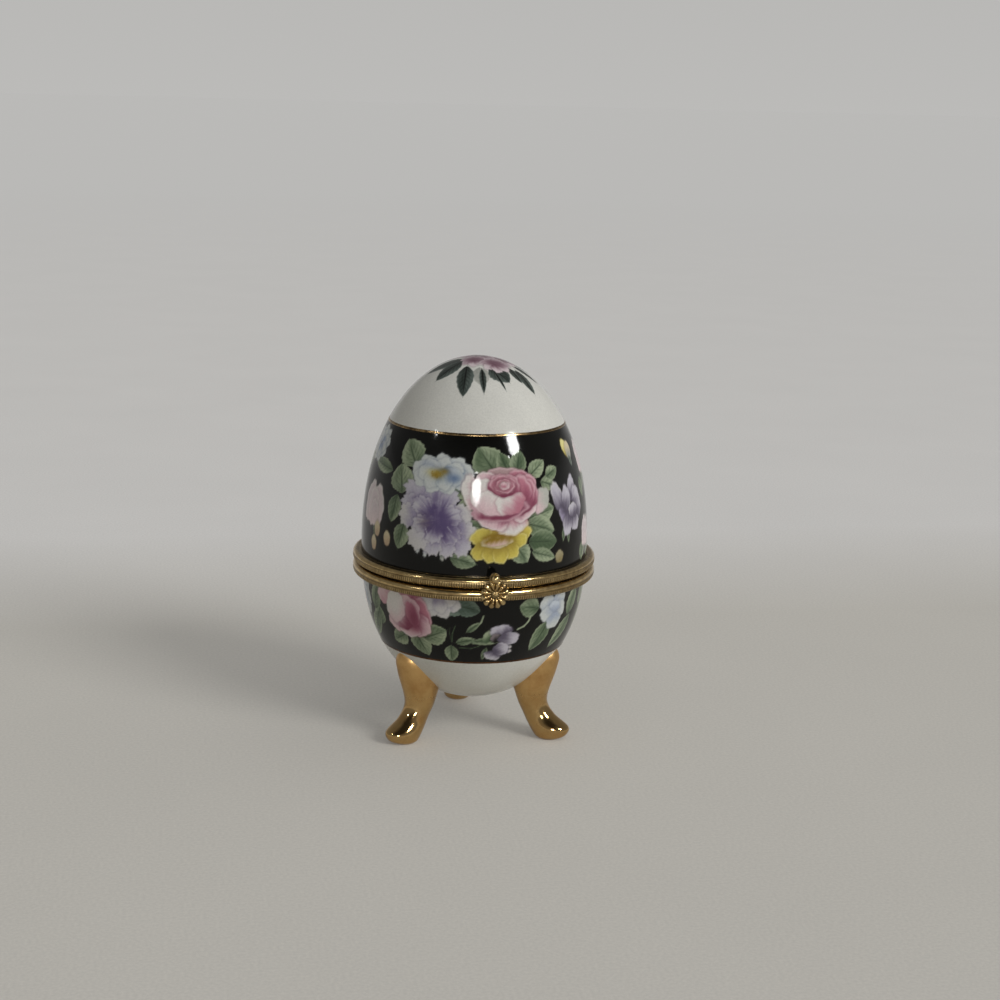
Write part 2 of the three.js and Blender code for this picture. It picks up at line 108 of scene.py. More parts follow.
# Bezels
SEAT_RADIUS = EGG_RADIUS + 0.1
BEAD_ROOT = SEAT_RADIUS + 0.5
BEAD_FULLNESS = 2.6
BEZEL_WEB = 0.5
COLLAR_END = RING_NEAR + 2.0
COLLAR_WALL = 0.45
COLLAR_GAP = 0.25
LIP_WALL = 0.5
REEDS = 320
REED_FORM = (1.0, 0.4, 0.0, 0.0, 0.4)  # depth at the points of one reed, as shares
REED_DEPTH = 0.1
GROOVE_DEPTH = 0.12
GROOVE_SPREAD = 5  # half width of a groove, in degrees of the bead
BEAD_POINTS = 40
RING_EDGE = 0.08

# Hinge
BARREL_RADIUS = 1.25
BARREL_CHAMFER = 0.12
BORE_RADIUS = 0.63
LID_KNUCKLE = 3.8
KNUCKLE_GAP = 0.15
LEAF_BACK = RING_RADIUS + 0.1
LEAF_THICKNESS = 0.6
LEAF_START = 0.2
LEAF_OVERLAP = 0.1
BEVEL = 0.1
HEEL_REACH = 0.75
HEEL_THICKNESS = 0.7
HEEL_ROOT = 0.9
HEEL_GAP = 0.05
PIN_HEAD = [(0, 0), (0.45, 0.04), (0.75, 0.16), (0.9, 0.34), (0.86, 0.45), (0.55, 0.45)]  # radius, depth

# Clasp
BEAD_LEVEL = 3.1
BEAD_RADIUS = 1.05
STUD_LEVEL = -1.4
STUD_RADIUS = 0.7
STUD_NECK = 0.4
STUD_RIM = 0.2
STUD_EDGE = (0.04, 0.06)  # bevel of its head, across and along
STUD_GAP = 0.1
TAB_TOP_RADIUS = 1.15
TAB_FOOT_RADIUS = 1.9
TAB_BEVEL = 0.07
RIVET_RADIUS = 0.5
RIVET_EDGE = 0.08
RIVET_HOLE = 0.62
STUD_HOLE = 0.95
FLOWER_SEAT = TAB_FRONT + 0.1
FLOWER_LEVEL = -0.65
FLOWER_RADIUS = 3.3
FLOWER_DEPTH = 1.0
PETALS = 12
PETAL_ROOT = 0.34  # where the petals start, as a share of the flower's radius
BOSS_EDGE = 0.3  # where the boss ends, as the same share

# Legs
FRONT_LEG_TURN = 58
LEG_TOP_LEVEL = -18.8
LEG_BURIED = 0.5  # how deep the leg's hidden end lies in the porcelain
LEG_SIDES = 48
LEG_RINGS = 85
SOLE_ROUNDING = 0.1  # how much narrower the sole is, as a share
SOLE_RISE = 0.5  # the height over which it widens
GILT_CHANGE = (0.0075, 0.0135)  # heights in metres between which mirror turns into satin

# Camera, read from the photograph
VIEW_TURN = -9.46
VIEW_HEIGHT = 14.36
VIEW_ROLL = 1.4
VIEW_DISTANCE = 430.0
PIXELS_PER_MM = 4.1457
AXIS_PIXEL = (473.66, 558.44)  # where the egg's axis meets the parting plane
IMAGE = 1000
SENSOR = 36.0

# Light, with lengths in metres
FLOOR_HALF = 120.0
FLOOR_GLOW = 0.115
# the floor is painted lighter behind the egg: painted light, as on a backdrop that faces the lamps
FLOOR_LIGHTENS = (0.09, 0.2)  # from here to there behind the egg
FLOOR_FADES = (0.4, 2.5)  # distances between which it turns into the backdrop
BACKDROP = 0.5
PALE = (1, 0.99, 0.965, 1)
ROOM = ((0.0, BACKDROP), (0.08, 0.48), (0.2, 0.25), (0.5, 0.23), (0.8, 0.18))  # height, light
CEILING_HEIGHT = 62
CEILING_EDGE = (0.72, 0.94)  # cosines of the angles where its shade starts and is full
CEILING_LIGHT = 0.2
PANEL_DISTANCE = 0.6
SUNS = (
    # name, turn, height, strength, spread
    ("key", 42, 29, 1.48, 24),
    ("fill", 60, 60, 0.85, 110),
)
PANELS = (
    # name, turn, height, power, shape, width, length
    ("streak", 40, 37, 2.4, "RECTANGLE", 0.11, 0.11),
    ("patch", -8, 16.4, 1.2, "ELLIPSE", 0.09, 0.14),
    ("side", -69.5, 40, 0.2, "ELLIPSE", 0.05, 0.025),
)


# Egg outline
def egg_radius(level):
    rise = np.where(level >= WIDEST_LEVEL, CROWN_RISE, BOWL_DROP)
    fullness = np.where(level >= WIDEST_LEVEL, CROWN_FULLNESS, BOWL_FULLNESS)
    share = np.clip(np.abs(level - WIDEST_LEVEL) / rise, 0, 1)
    return EGG_RADIUS * np.sqrt(1 - share**fullness)


def egg_line(start, end, count):
    """Radius, level and length along the outline, evenly spaced from one level to another."""
    ends = np.array([start, end]) - WIDEST_LEVEL
    angles = np.arcsin(np.clip(ends / np.where(ends > 0, CROWN_RISE, BOWL_DROP), -1, 1))
    share = np.sin(np.linspace(*angles, OUTLINE_STEPS))
    level = WIDEST_LEVEL + share * np.where(share > 0, CROWN_RISE, BOWL_DROP)
    radius = egg_radius(level)
    length = np.append(0, np.cumsum(np.hypot(np.diff(radius), np.diff(level))))
    at = np.linspace(0, length[-1], count)
    return np.interp(at, length, radius), np.interp(at, length, level), at


def moved_out(radius, level, distance):
    """The outline moved along its outward normal."""
    across, up = np.gradient(radius), np.gradient(level)
    size = np.hypot(across, up) * np.sign(level[-1] - level[0])
    return radius + distance * up / size, level - distance * across / size


# Meshes
SMALL_COLUMNS = 40  # points round a small turned piece


def ease(low, high, value):
    share = np.clip((value - low) / (high - low), 0, 1)
    return share * share * (3 - 2 * share)


def point(x, y, level):
    """A ring of one point."""
    return np.array([[x, y, level]])


def skin(rings, wrap=False):
    """Points and faces of the surface through rings of points. A ring of one point closes an end."""
    starts = np.cumsum([0] + [len(ring) for ring in rings])
    faces = []
    for low in range(len(rings) if wrap else len(rings) - 1):
        high = (low + 1) % len(rings)
        count = max(len(rings[low]), len(rings[high]))
        here = np.arange(count)
        there = (here + 1) % count
        corners = [starts[low] + here, starts[low] + there, starts[high] + there, starts[high] + here]
        if len(rings[low]) == 1:
            corners = [starts[low] + 0 * here, *corners[2:]]
        elif len(rings[high]) == 1:
            corners = [*corners[:2], starts[high] + 0 * here]
        if count > 1:
            faces += np.stack(corners, 1).tolist()
    return np.concatenate(rings), faces


def ring_of(radius, level, columns):
    """A level ring of points round the egg's axis. Radius and level may differ from point to point."""
    turn = np.arange(columns) * 2 * math.pi / columns
    level = np.broadcast_to(level, turn.shape)
    return np.stack([radius * np.sin(turn), -radius * np.cos(turn), level], 1)


def lathe(profile, columns=SMALL_COLUMNS, wrap=False):
    """Turns [radius, level] points, which go up on the outside, about the egg's axis."""
    rings = []
    for radius, level in profile:
        rings.append(ring_of(radius, level, columns) if radius > 1e-6 else point(0, 0, level))
    return skin(rings, wrap)


def linked(name, data):
    made = bpy.data.objects.new(name, data)
    bpy.context.scene.collection.objects.link(made)
    return made


def piece(name, places, faces, material, body, node=None, slot=None, crease=40):
    """A mesh object from places counted from the parting plane, riding on a CAD body."""
    mesh = bpy.data.meshes.new(name)
    mesh.from_pydata(((places + np.array([0, 0, PARTING])) * MM).tolist(), [], faces)
    mesh.polygons.foreach_set("use_smooth", [True] * len(mesh.polygons))
    if crease:
        mesh.set_sharp_from_angle(angle=math.radians(crease))
    mesh.materials.append(material)
    made = linked(name, mesh)
    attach(made, body)
    if node:
        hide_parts(node)
    return made


def soften(points, size):
    """Rounds the corners of a closed [radius, level] outline."""
    points = [np.array(corner, float) for corner in points]
    made = []
    for before, here, after in zip(points[-1:] + points[:-1], points, points[1:] + points[:1]):
        back, on = before - here, after - here
        reach = min(size, 0.4 * np.linalg.norm(back), 0.4 * np.linalg.norm(on))
        first = here + back / np.linalg.norm(back) * reach
        last = here + on / np.linalg.norm(on) * reach
        made += [first, 0.25 * first + 0.5 * here + 0.25 * last, last]
    return made


# Colours as they look, from 0 to 255
BLACK = (13, 13, 11)
WHITE = (207, 206, 199)
LEAF_VEIN = (54, 66, 50)
LEAF_DARK = (76, 93, 68)
LEAF_PALE = (156, 167, 138)
GREY_LEAF_DARK = (66, 82, 72)
GREY_LEAF_PALE = (120, 136, 122)
NIGHT_LEAF = (42, 48, 44)
NIGHT_LEAF_PALE = (92, 101, 96)
ROSE_DEEP = (126, 61, 82)
ROSE_DUSK = (152, 96, 110)
ROSE = (178, 116, 131)
ROSE_DUST = (168, 142, 142)
ROSE_PALE = (213, 184, 188)
ROSE_WHITE = (216, 211, 206)
LILAC_DEEP = (89, 75, 113)
LILAC = (148, 140, 162)
LILAC_PALE = (184, 180, 189)
LILAC_WHITE = (197, 194, 192)
VIOLET_GREY = (88, 81, 97)
BLUE_DEEP = (104, 122, 150)
BLUE = (156, 165, 181)
BLUE_PALE = (188, 195, 203)
BLUE_WHITE = (193, 197, 194)
YELLOW_DEEP = (162, 142, 62)
YELLOW = (200, 184, 88)
YELLOW_PALE = (220, 210, 142)
OCHRE = (138, 110, 38)
CREAM = (204, 190, 156)
BLUSH = (200, 172, 160)
PLUM = (114, 82, 94)
PINK = (170, 150, 156)
PINK_PALE = (206, 192, 194)
TULIP_DEEP = (218, 200, 200)
BEIGE = (188, 162, 132)
STRAW = (132, 120, 84)
STRAW_PALE = (150, 142, 112)
DUSK = (122, 112, 114)
MIST = (176, 176, 168)
MIST_DARK = (146, 147, 140)
GOLD_FOOT = (188, 156, 104)
GOLD_SATIN = (202, 164, 108)
GOLD_THIN = (168, 124, 72)
LINE_GOLD = (156, 130, 90)
LINE_GOLD_THIN = (74, 56, 38)
LINE_BROWN = (104, 72, 46)
LINE_BROWN_THIN = (56, 36, 24)
BRASS_BRIGHT = (206, 180, 128)
BRASS_DULL = (148, 122, 82)
# brown of the brass's hollows: patina and painted shade together
BRASS_RECESS = (46, 34, 22)
CEMENT_DARK = (176, 168, 148)
CEMENT_PALE = (208, 202, 186)
# floor tints; the ones behind the egg are lighter as painted light
FLOOR_NEAR = (207, 204, 195)
FLOOR_BEHIND = (224, 222, 218)
SEEN_FLOOR_NEAR = (184, 180, 171)
SEEN_FLOOR_BEHIND = (206, 204, 201)

# Leaf tones: dark, pale and vein
GREEN = (LEAF_DARK, LEAF_PALE, LEAF_VEIN)
GREY_GREEN = (GREY_LEAF_DARK, GREY_LEAF_PALE, LEAF_VEIN)
BUD_GREEN = (GREY_LEAF_DARK, MIST_DARK, LEAF_VEIN)
NIGHT_GREEN = (NIGHT_LEAF, NIGHT_LEAF_PALE, BLACK)
MIST_GREEN = (MIST_DARK, MIST, MIST_DARK)

# Petal tones: deep, pale and the rim's. Two tones have a pale rim, and None leaves it out
ROSE_LIT = (ROSE, ROSE_WHITE)
ROSE_SOFT = (ROSE, ROSE_PALE)
ROSE_SHEEN = (ROSE_PALE, ROSE_WHITE)
ROSE_FOLD = (ROSE_DEEP, ROSE, ROSE_PALE)
ROSE_CURL = (ROSE_DUSK, ROSE, ROSE_PALE)
ROSE_SKIRT = (ROSE_DEEP, ROSE_PALE, ROSE_WHITE)
BUD_FOLD = (ROSE_DEEP, ROSE_PALE)
ASTER_TIP = (LILAC, BLUE_WHITE, None)
ASTER_BACK = (LILAC, LILAC_PALE)
ASTER_LIT = (LILAC, LILAC_WHITE)
ASTER_EDGE = (LILAC, LILAC_PALE, LILAC_WHITE)
ASTER_THROAT = (LILAC_DEEP, LILAC_PALE)
PRIMROSE = (YELLOW_DEEP, YELLOW, YELLOW_PALE)
VIOLET = (VIOLET_GREY, LILAC_PALE)
VIOLET_LIT = (VIOLET_GREY, LILAC_PALE, LILAC_WHITE)
SPOT = (LILAC, LILAC_WHITE, None)
TULIP = (TULIP_DEEP, PINK_PALE, ROSE_WHITE)
BELL = (BLUE, BLUE_WHITE)


def colour(values):
    return np.array(values) / 255


def blend(low, high, share):
    return low + (high - low) * share[..., None]


def linear(values):
    """Colours as they look turned into amounts of light."""
    return np.where(values <= 0.04045, values / 12.92, ((values + 0.055) / 1.055) ** 2.4)


# Painting
SOFT = 0.16  # half the width of a brush stroke's edge
FULL = 2 * math.pi


class Patch:
    """Part of a canvas laid flat: x runs round the egg and y runs up it, in millimetres."""

    def __init__(self, canvas, rows, columns, x, y):
        self.canvas = canvas
        self.place = np.ix_(rows, columns)
        self.x = x
        self.y = y

    def lay(self, cover, tone, raised=True):
        under = self.canvas.colour[self.place]
        self.canvas.colour[self.place] = under + (tone - under) * cover[..., None]
        if raised:
            self.canvas.raised[self.place] = np.maximum(self.canvas.raised[self.place], cover)


class Canvas:
    """A shell's outside as a grid of points to paint. Rows run from rim to pole, columns go round.

    The ground is black from the rim to the line.
    """

    def __init__(self, rim, pole, rows, line):
        self.radius, self.level, self.arc = egg_line(rim, pole, rows)
        self.up = math.copysign(1, pole - rim)
        dark = (line - self.level) * self.up > 0
        ground = blend(colour(WHITE), colour(BLACK), dark.astype(float))
        self.colour = np.repeat(ground[:, None], COLUMNS, 1)
        self.raised = np.zeros((rows, COLUMNS))

    def patch(self, turn, level, reach):
        """The surroundings of a place on the side of the egg."""
        middle = np.interp(level * self.up, self.level * self.up, self.arc)
        rows = np.flatnonzero(np.abs(self.arc - middle) <= reach)
        span = int(min(COLUMNS / 2 - 1, reach / self.radius[rows].min() * COLUMNS / FULL))
        centre = turn / 360 * COLUMNS
        steps = np.arange(-span, span + 1) + round(centre)
        x = (steps - centre) * FULL / COLUMNS * self.radius[rows][:, None]
        y = np.broadcast_to(self.up * (self.arc[rows] - middle)[:, None], x.shape)
        return Patch(self, rows, steps % COLUMNS, x, y)

    def crown(self, reach):
        """The surroundings of the pole, seen from outside with the clasp below."""
        far = self.arc[-1] - self.arc
        rows = np.flatnonzero(far <= reach)
        columns = np.arange(COLUMNS)
        turn = columns * FULL / COLUMNS
        far = far[rows][:, None]
        return Patch(self, rows, columns, far * np.sin(turn), -far * np.cos(turn))


class Spray:
    """A group of flowers at a turn on a canvas, mirrored where mirror is -1."""

    def __init__(self, canvas, turn, mirror=1):
        self.canvas = canvas
        self.turn = turn
        self.mirror = mirror

    def at(self, turn, level, reach):
        made = self.canvas.patch(self.turn + self.mirror * turn, level, reach)
        made.x = made.x * self.mirror
        return made


def aimed(start, degrees, length):
    """The place a length away from another, in a direction counted from the right."""
    angle = math.radians(degrees)
    return start[0] + length * math.cos(angle), start[1] + length * math.sin(angle)


def along_and_aside(x, y, degrees):
    """How far places lie along a direction and to the left of it."""
    c, s = math.cos(math.radians(degrees)), math.sin(math.radians(degrees))
    return x * c + y * s, y * c - x * s


def blade(patch, root, tip, width, widest=0.6, taper=0.5, ripple=0.0):
    """How far inside a blade's edge each place is, and its share along and across the blade."""
    way = np.subtract(tip, root)
    length = math.hypot(*way)
    x, y = patch.x - root[0], patch.y - root[1]
    along = (x * way[0] + y * way[1]) / length**2
    aside = (y * way[0] - x * way[1]) / length
    share = np.clip(along, 0, 1)
    rise = np.sin(0.25 * FULL * np.clip(share / widest, 0, 1)) ** 0.75
    past = np.clip((share - widest) / (1 - widest), 0, 1)
    form = np.where(share < widest, rise, (1 - past**2) ** taper)
    half = 0.5 * width * form * (1 + ripple * np.sin(6 * FULL * share))
    inside = np.minimum(half - np.abs(aside), np.minimum(along, 1 - along) * length + 2 * SOFT)
    return inside, share, np.clip(aside / np.maximum(half, 0.1), -1, 1)


def lobe(patch, centre, size, tilt, aim, tones, seed=0.0, wave=0.05, waves=5):
    """A rounded petal that gets paler in one direction, with a fine rim on its pale side."""
    deep, pale, rim = colour(tones[0]), colour(tones[1]), tones[-1]
    x, y = patch.x - centre[0], patch.y - centre[1]
    u, v = along_and_aside(x, y, tilt)
    u, v = u / size[0], v / size[1]
    angle = np.arctan2(v, u)
    edge = wave * np.sin(waves * angle + seed) + 0.5 * wave * np.sin((2 * waves + 1) * angle + 2 * seed)
    share = np.hypot(u, v) / (1 + edge)
    inside = (1 - share) * min(size)
    lean = math.radians(aim - tilt)
    reach = math.hypot(size[0] * math.cos(lean), size[1] * math.sin(lean))
    onward, across = along_and_aside(x / reach, y / reach, aim)
    cloud = 0.12 * np.sin(5 * across + 3 * onward + seed)
    cloud += 0.06 * np.sin(17 * across - 2 * onward + 2 * seed)
    tone = blend(deep, pale, ease(-0.85, 0.7, onward + cloud))
    if rim is not None:
        tone = blend(tone, colour(rim), 0.65 * ease(0.74, 0.96, share) * ease(-0.5, 0.4, onward))
    patch.lay(0.24 * ease(-0.5, 0, inside), deep * 0.7, raised=False)
    patch.lay(ease(-SOFT, SOFT, inside), tone)


def lobes(patch, scale, table, **edge):
    """Petals from rows of x, y, half width, half height, tilt, aim and tones."""
    for k, (x, y, wide, tall, tilt, aim, tones) in enumerate(table):
        spot, size = (x * scale, y * scale), (wide * scale, tall * scale)
        lobe(patch, spot, size, tilt, aim, tones, seed=1.9 * k, **edge)


def leaf(patch, root, degrees, length, width, tones=GREEN, seed=0.0, light=0.0):
    """A scalloped leaf with a midrib, side veins, a paler half and a pale edge."""
    dark, pale, vein = map(colour, tones)
    tip = aimed(root, degrees, length)
    inside, along, across = blade(patch, root, tip, width, widest=0.42, taper=0.85, ripple=0.035)
    aside = np.abs(across)
    side = math.copysign(1, math.sin(seed + 0.5))
    lit = 0.14 + light + 0.42 * aside + 0.24 * along + 0.16 * np.tanh(4 * side * across)
    lit += 0.13 * np.sin(7 * along + 4 * across + seed)
    lit += 0.08 * np.sin(15 * across - 6 * along + 3 * seed)
    tone = blend(dark, pale, np.clip(lit, 0, 1))
    step = (along * length - 0.5 * aside * width) / 1.2
    ribs = np.exp(-(((step - np.round(step)) / 0.14) ** 2)) * (1 - aside) * ease(0.05, 0.3, aside)
    midrib = np.exp(-((across * width / 0.36) ** 2)) * ease(1, 0.7, along)
    tone = blend(tone, vein, np.clip(0.6 * ribs + 0.8 * midrib + 0.3 * ease(0.35, 0, along), 0, 1))
    tone = blend(tone, pale, 0.6 * ease(0.7, 1, aside))
    patch.lay(ease(-SOFT, SOFT, inside), tone)


def leaves(spray, table, step=0.0, tones=GREEN):
    """Leaves from rows of turn, level, direction, length, width and lightness."""
    for k, (turn, level, degrees, length, width, light) in enumerate(table):
        patch = spray.at(turn, level, length + 2)
        leaf(patch, (0, 0), degrees, length, width, tones, step * k, light)


def stem(patch, points, width, tone):
    """A thin stroke through a few points."""
    for start, end in zip(points, points[1:]):
        way = np.subtract(end, start)
        x, y = patch.x - start[0], patch.y - start[1]
        along = np.clip((x * way[0] + y * way[1]) / (way @ way), 0, 1)
        gap = np.hypot(x - along * way[0], y - along * way[1])
        patch.lay(ease(width / 2 + SOFT, width / 2 - SOFT, gap), colour(tone))


def stains(patch, scale, table):
    """Soft stains from rows of x, y, half width, half height, tone and strength."""
    for x, y, wide, tall, tone, strength in table:
        far = np.hypot((patch.x / scale - x) / wide, (patch.y / scale - y) / tall)
        patch.lay(strength * np.exp(-far * far), colour(tone), raised=False)


# Flowers, each on a patch whose middle is the flower's
ROSE_LOBES = [
    (-8.2, 1.6, 2.6, 4.4, 8, 170, ROSE_LIT),
    (10.3, -0.9, 2.6, 3.4, -28, 20, (ROSE_PALE, MIST)),
    (0.2, 5.0, 5.8, 3.1, 0, 90, (ROSE_DUSK, ROSE_DUST, ROSE_PALE)),
    (4.6, 4.4, 3.6, 2.6, -35, 50, ROSE_CURL),
    (-5.0, 4.2, 3.2, 2.6, 40, 130, (ROSE_DUSK, ROSE_PALE, ROSE_WHITE)),
    (2.2, -6.6, 4.2, 2.6, 14, -80, (ROSE, ROSE_WHITE, CREAM)),
    (-3.4, -5.2, 4.4, 2.4, -22, -110, ROSE_SKIRT),
    (5.2, -2.4, 4.2, 3.0, 38, -40, ROSE_SKIRT),
    (5.0, 1.2, 4.4, 5.2, -12, 75, ROSE_FOLD),
    (4.6, 1.0, 4.0, 4.8, -12, 85, ROSE_FOLD),
    (3.8, 1.2, 3.7, 4.6, -10, 95, ROSE_FOLD),
    (-1.2, -2.6, 7.6, 3.0, 6, -80, (ROSE_PALE, ROSE_DEEP, ROSE_PALE)),
    (-5.2, 0.9, 3.5, 4.6, 12, 120, ROSE_SHEEN),
    (-1.4, -0.5, 5.6, 3.7, 0, 80, ROSE_SHEEN),
    (1.6, -0.9, 4.0, 3.1, 18, 140, ROSE_LIT),
    (0.0, 3.5, 4.2, 2.9, -4, 80, ROSE_FOLD),
    (-0.3, 3.6, 3.4, 2.4, 0, 100, ROSE_CURL),
    (0.0, 3.5, 2.7, 1.9, -8, -70, ROSE_CURL),
    (-0.1, 3.6, 2.0, 1.5, 6, 90, ROSE_CURL),
    (0.1, 3.5, 1.4, 1.1, 0, -60, (ROSE_DUST, ROSE_PALE)),
    (-0.1, 3.65, 0.8, 0.7, 0, 90, ROSE_SOFT),
]
ASTER_LOBES = [
    (-3.6, -7.2, 0.5, 1.0, -12, -90, ASTER_TIP),
    (-1.7, -7.8, 0.5, 1.1, -8, -90, ASTER_TIP),
    (2.4, -8.2, 0.5, 1.2, 6, -90, (GREY_LEAF_DARK, MIST, None)),
    (0.4, 0.4, 6.6, 6.0, 0, 90, (LILAC, LILAC_PALE, None)),
    (-4.4, 6.0, 4.0, 2.2, -12, 110, ASTER_BACK),
    (-6.2, 3.4, 2.8, 1.7, 10, 150, ASTER_BACK),
    (3.2, 5.0, 2.3, 2.3, 20, 60, ASTER_BACK),
    (-0.4, 6.2, 2.0, 2.2, 0, 100, ASTER_BACK),
    (6.2, 1.4, 2.9, 2.4, 12, 20, ASTER_LIT),
    (7.7, -2.6, 2.3, 2.5, 0, -10, ASTER_LIT),
    (6.7, -5.6, 2.2, 2.4, -20, -45, ASTER_EDGE),
    (3.4, -6.2, 1.9, 2.3, 0, -75, ASTER_EDGE),
    (0.0, -6.0, 2.2, 2.3, 0, -95, ASTER_EDGE),
    (-3.6, -4.4, 2.8, 3.0, -25, -125, (LILAC_PALE, LILAC_WHITE)),
    (-6.7, 0.2, 2.5, 2.7, 0, 175, ASTER_LIT),
    (-2.6, 2.6, 3.0, 2.3, -20, 130, ASTER_THROAT),
    (3.8, 0.8, 2.5, 2.7, 20, 20, ASTER_THROAT),
    (3.8, -3.0, 2.6, 2.4, -20, -35, (LILAC_DEEP, LILAC, LILAC_PALE)),
    (0.2, -3.0, 2.2, 2.4, 0, -90, ASTER_THROAT),
    (-2.8, -1.2, 2.4, 2.0, 0, 180, ASTER_THROAT),
]
ASTER_STAINS = [
    (0.5, 2.0, 2.0, 2.8, LILAC_DEEP, 0.75),
    (1.5, -0.9, 2.2, 2.4, LILAC_DEEP, 0.8),
    (3.8, -1.6, 2.4, 2.0, LILAC_DEEP, 0.55),
    (0.2, 5.8, 0.7, 2.0, LILAC_DEEP, 0.35),
    (-4.6, 4.2, 2.2, 0.7, LILAC_DEEP, 0.3),
    (-2.3, -0.8, 1.9, 1.5, DUSK, 0.6),
]
ASTER_HEART = (0.9, -0.2)
ASTER_RAYS = 72
ANEMONE_RINGS = [
    # petals, distance, half width and half height as shares of the reach, first direction
    (9, 0.66, 0.36, 0.3, 10),
    (7, 0.42, 0.34, 0.26, 30),
]
ANEMONE_STAINS = [
    (-0.47, 0.26, 0.22, 0.12, BLUE, 0.6),
    (0.44, -0.12, 0.22, 0.15, BLUE_DEEP, 0.95),
    (-0.36, 0.02, 0.18, 0.12, YELLOW_PALE, 0.45),
    (-0.12, -0.01, 0.22, 0.14, YELLOW_DEEP, 0.9),
    (0.1, 0.08, 0.14, 0.09, OCHRE, 0.7),
    (-0.16, -0.06, 0.12, 0.09, OCHRE, 0.8),
]
PRIMROSE_LOBES = [
    (-5.4, 2.0, 3.4, 2.2, 20, 140, PRIMROSE),
    (0.4, 3.0, 4.0, 2.0, 0, 90, (OCHRE, YELLOW_DEEP, YELLOW_PALE)),
    (5.8, 2.4, 3.0, 2.0, 35, 40, PRIMROSE),
    (4.4, 0.6, 3.0, 2.0, 20, -10, PRIMROSE),
    (-6.0, -2.2, 2.5, 2.2, 30, -120, PRIMROSE),
    (2.6, -2.0, 2.3, 2.2, -20, -60, PRIMROSE),
    (-3.2, -2.9, 2.2, 2.3, 5, -95, PRIMROSE),
    (-0.4, -3.0, 2.2, 2.5, 0, -85, PRIMROSE),
    (-1.4, 0.8, 4.4, 1.9, 4, -90, (OCHRE, CREAM)),
    (-1.6, 0.5, 3.2, 1.1, 4, -80, (OCHRE, BLUSH, None)),
]
IRIS_LOBES = [
    (2.2, 3.8, 1.7, 3.4, -10, 80, VIOLET),
    (-3.9, 2.4, 1.9, 4.0, 16, 110, VIOLET_LIT),
    (4.4, 0.2, 2.2, 4.2, 12, 40, VIOLET),
    (-0.6, 1.4, 1.7, 3.6, 0, 60, VIOLET),
    (-2.4, -2.2, 1.3, 2.4, 24, -140, (VIOLET_GREY, LILAC, LILAC_PALE)),
    (2.6, -4.6, 2.1, 2.2, 30, -60, VIOLET),
    (-0.8, -4.6, 1.9, 3.0, -12, -110, VIOLET),
    (2.0, -1.6, 2.1, 1.8, 0, 110, VIOLET_LIT),
]
TULIP_LOBES = [
    (-1.8, 0.2, 2.4, 4.6, -10, 130, TULIP),
    (2.0, 0.0, 2.4, 4.4, 10, 60, TULIP),
    (0.0, -0.6, 2.4, 4.0, 0, 95, TULIP),
    (1.0, -1.8, 1.8, 2.8, 12, 80, TULIP),
]
ROSEBUD_LOBES = [
    (-6.2, 3.4, 3.4, 2.6, 15, 140, ROSE_SOFT),
    (1.4, 3.8, 3.6, 2.8, 0, 80, ROSE_FOLD),
    (4.0, 0.2, 2.8, 4.4, 12, 10, ROSE_FOLD),
    (3.4, -2.6, 3.2, 3.2, 20, -40, BUD_FOLD),
    (-3.0, -2.8, 3.0, 2.6, -24, -130, BUD_FOLD),
    (0.6, -4.2, 3.0, 2.2, 0, -90, (ROSE, ROSE_PALE, ROSE_WHITE)),
    (0.6, 0.4, 3.6, 4.0, 0, 40, ROSE_SOFT),
    (-1.2, -1.4, 3.6, 3.2, -10, 140, BUD_FOLD),
    (-3.2, 0.9, 3.0, 4.0, -6, 120, ROSE_SHEEN),
    (1.8, -0.2, 1.6, 3.2, 14, -20, (ROSE, ROSE_DUSK, ROSE)),
]
ROSEBUD_STAINS = [
    (-3.4, 1.2, 2.4, 3.0, ROSE_WHITE, 0.95),
    (2.2, -0.8, 1.7, 3.0, ROSE_DEEP, 0.9),
    (2.8, -3.4, 2.0, 1.6, ROSE_DEEP, 0.6),
]
PANSY_LOBES = [
    (-3.7, 1.3, 0.95, 1.7, -14, 120, (LEAF_DARK, LEAF_PALE)),
    (-0.5, 2.9, 2.7, 1.5, 4, 120, VIOLET),
    (-1.6, 0.9, 1.3, 1.2, 0, 130, (BLACK, DUSK, None)),
    (1.5, 0.6, 2.6, 1.8, 6, -20, VIOLET),
    (1.9, -1.8, 0.6, 0.5, 0, 0, SPOT),
    (1.9, -3.0, 0.7, 0.5, 0, 0, SPOT),
    (-1.9, -4.1, 2.1, 1.3, -22, -110, VIOLET_LIT),
    (-0.1, -2.3, 1.9, 1.9, 20, 20, VIOLET),
]
BELLFLOWER_LOBES = [
    (-2.0, 1.8, 2.2, 2.2, 20, 130, BELL),
    (2.0, 2.8, 2.0, 2.4, -20, 60, BELL),
    (2.4, -0.4, 2.0, 2.4, 0, 0, BELL),
    (-1.2, -0.8, 2.6, 2.0, 0, -150, BELL),
    (1.0, -3.0, 2.4, 2.0, 10, -80, BELL),
    (0.6, 0.9, 1.8, 1.2, -15, 90, (BLUE, BLUE_PALE)),
]


def aster(patch):
    """A ruffled bloom with a violet throat and fine rays spreading from it."""
    lobes(patch, 1, ASTER_LOBES, wave=0.1, waves=8)
    stains(patch, 1, ASTER_STAINS)
    for k in range(ASTER_RAYS):
        turn = 360 / ASTER_RAYS * k + 6 * math.sin(2.2 * k)
        pale = k % 2
        near = aimed(ASTER_HEART, turn, 3.0 if pale else 0.5)
        far = aimed(ASTER_HEART, turn, 4.4 + 1.8 * math.sin(3.7 * k) + 1.4 * pale)
        inside, along, _ = blade(patch, near, far, 0.46)
        fade = 0.4 * along if pale else 0.6 * (1 - 0.8 * along)
        patch.lay(fade * ease(-SOFT, SOFT, inside), colour(LILAC_WHITE if pale else LILAC_DEEP))
    for x, y, degrees, length in ((-4.6, 4.6, -38, 2.9), (3.4, -1.4, -50, 1.6), (-1.9, -2.0, -70, 2.0)):
        stem(patch, [(x, y), aimed((x, y), degrees, length)], 0.14, LILAC_PALE)


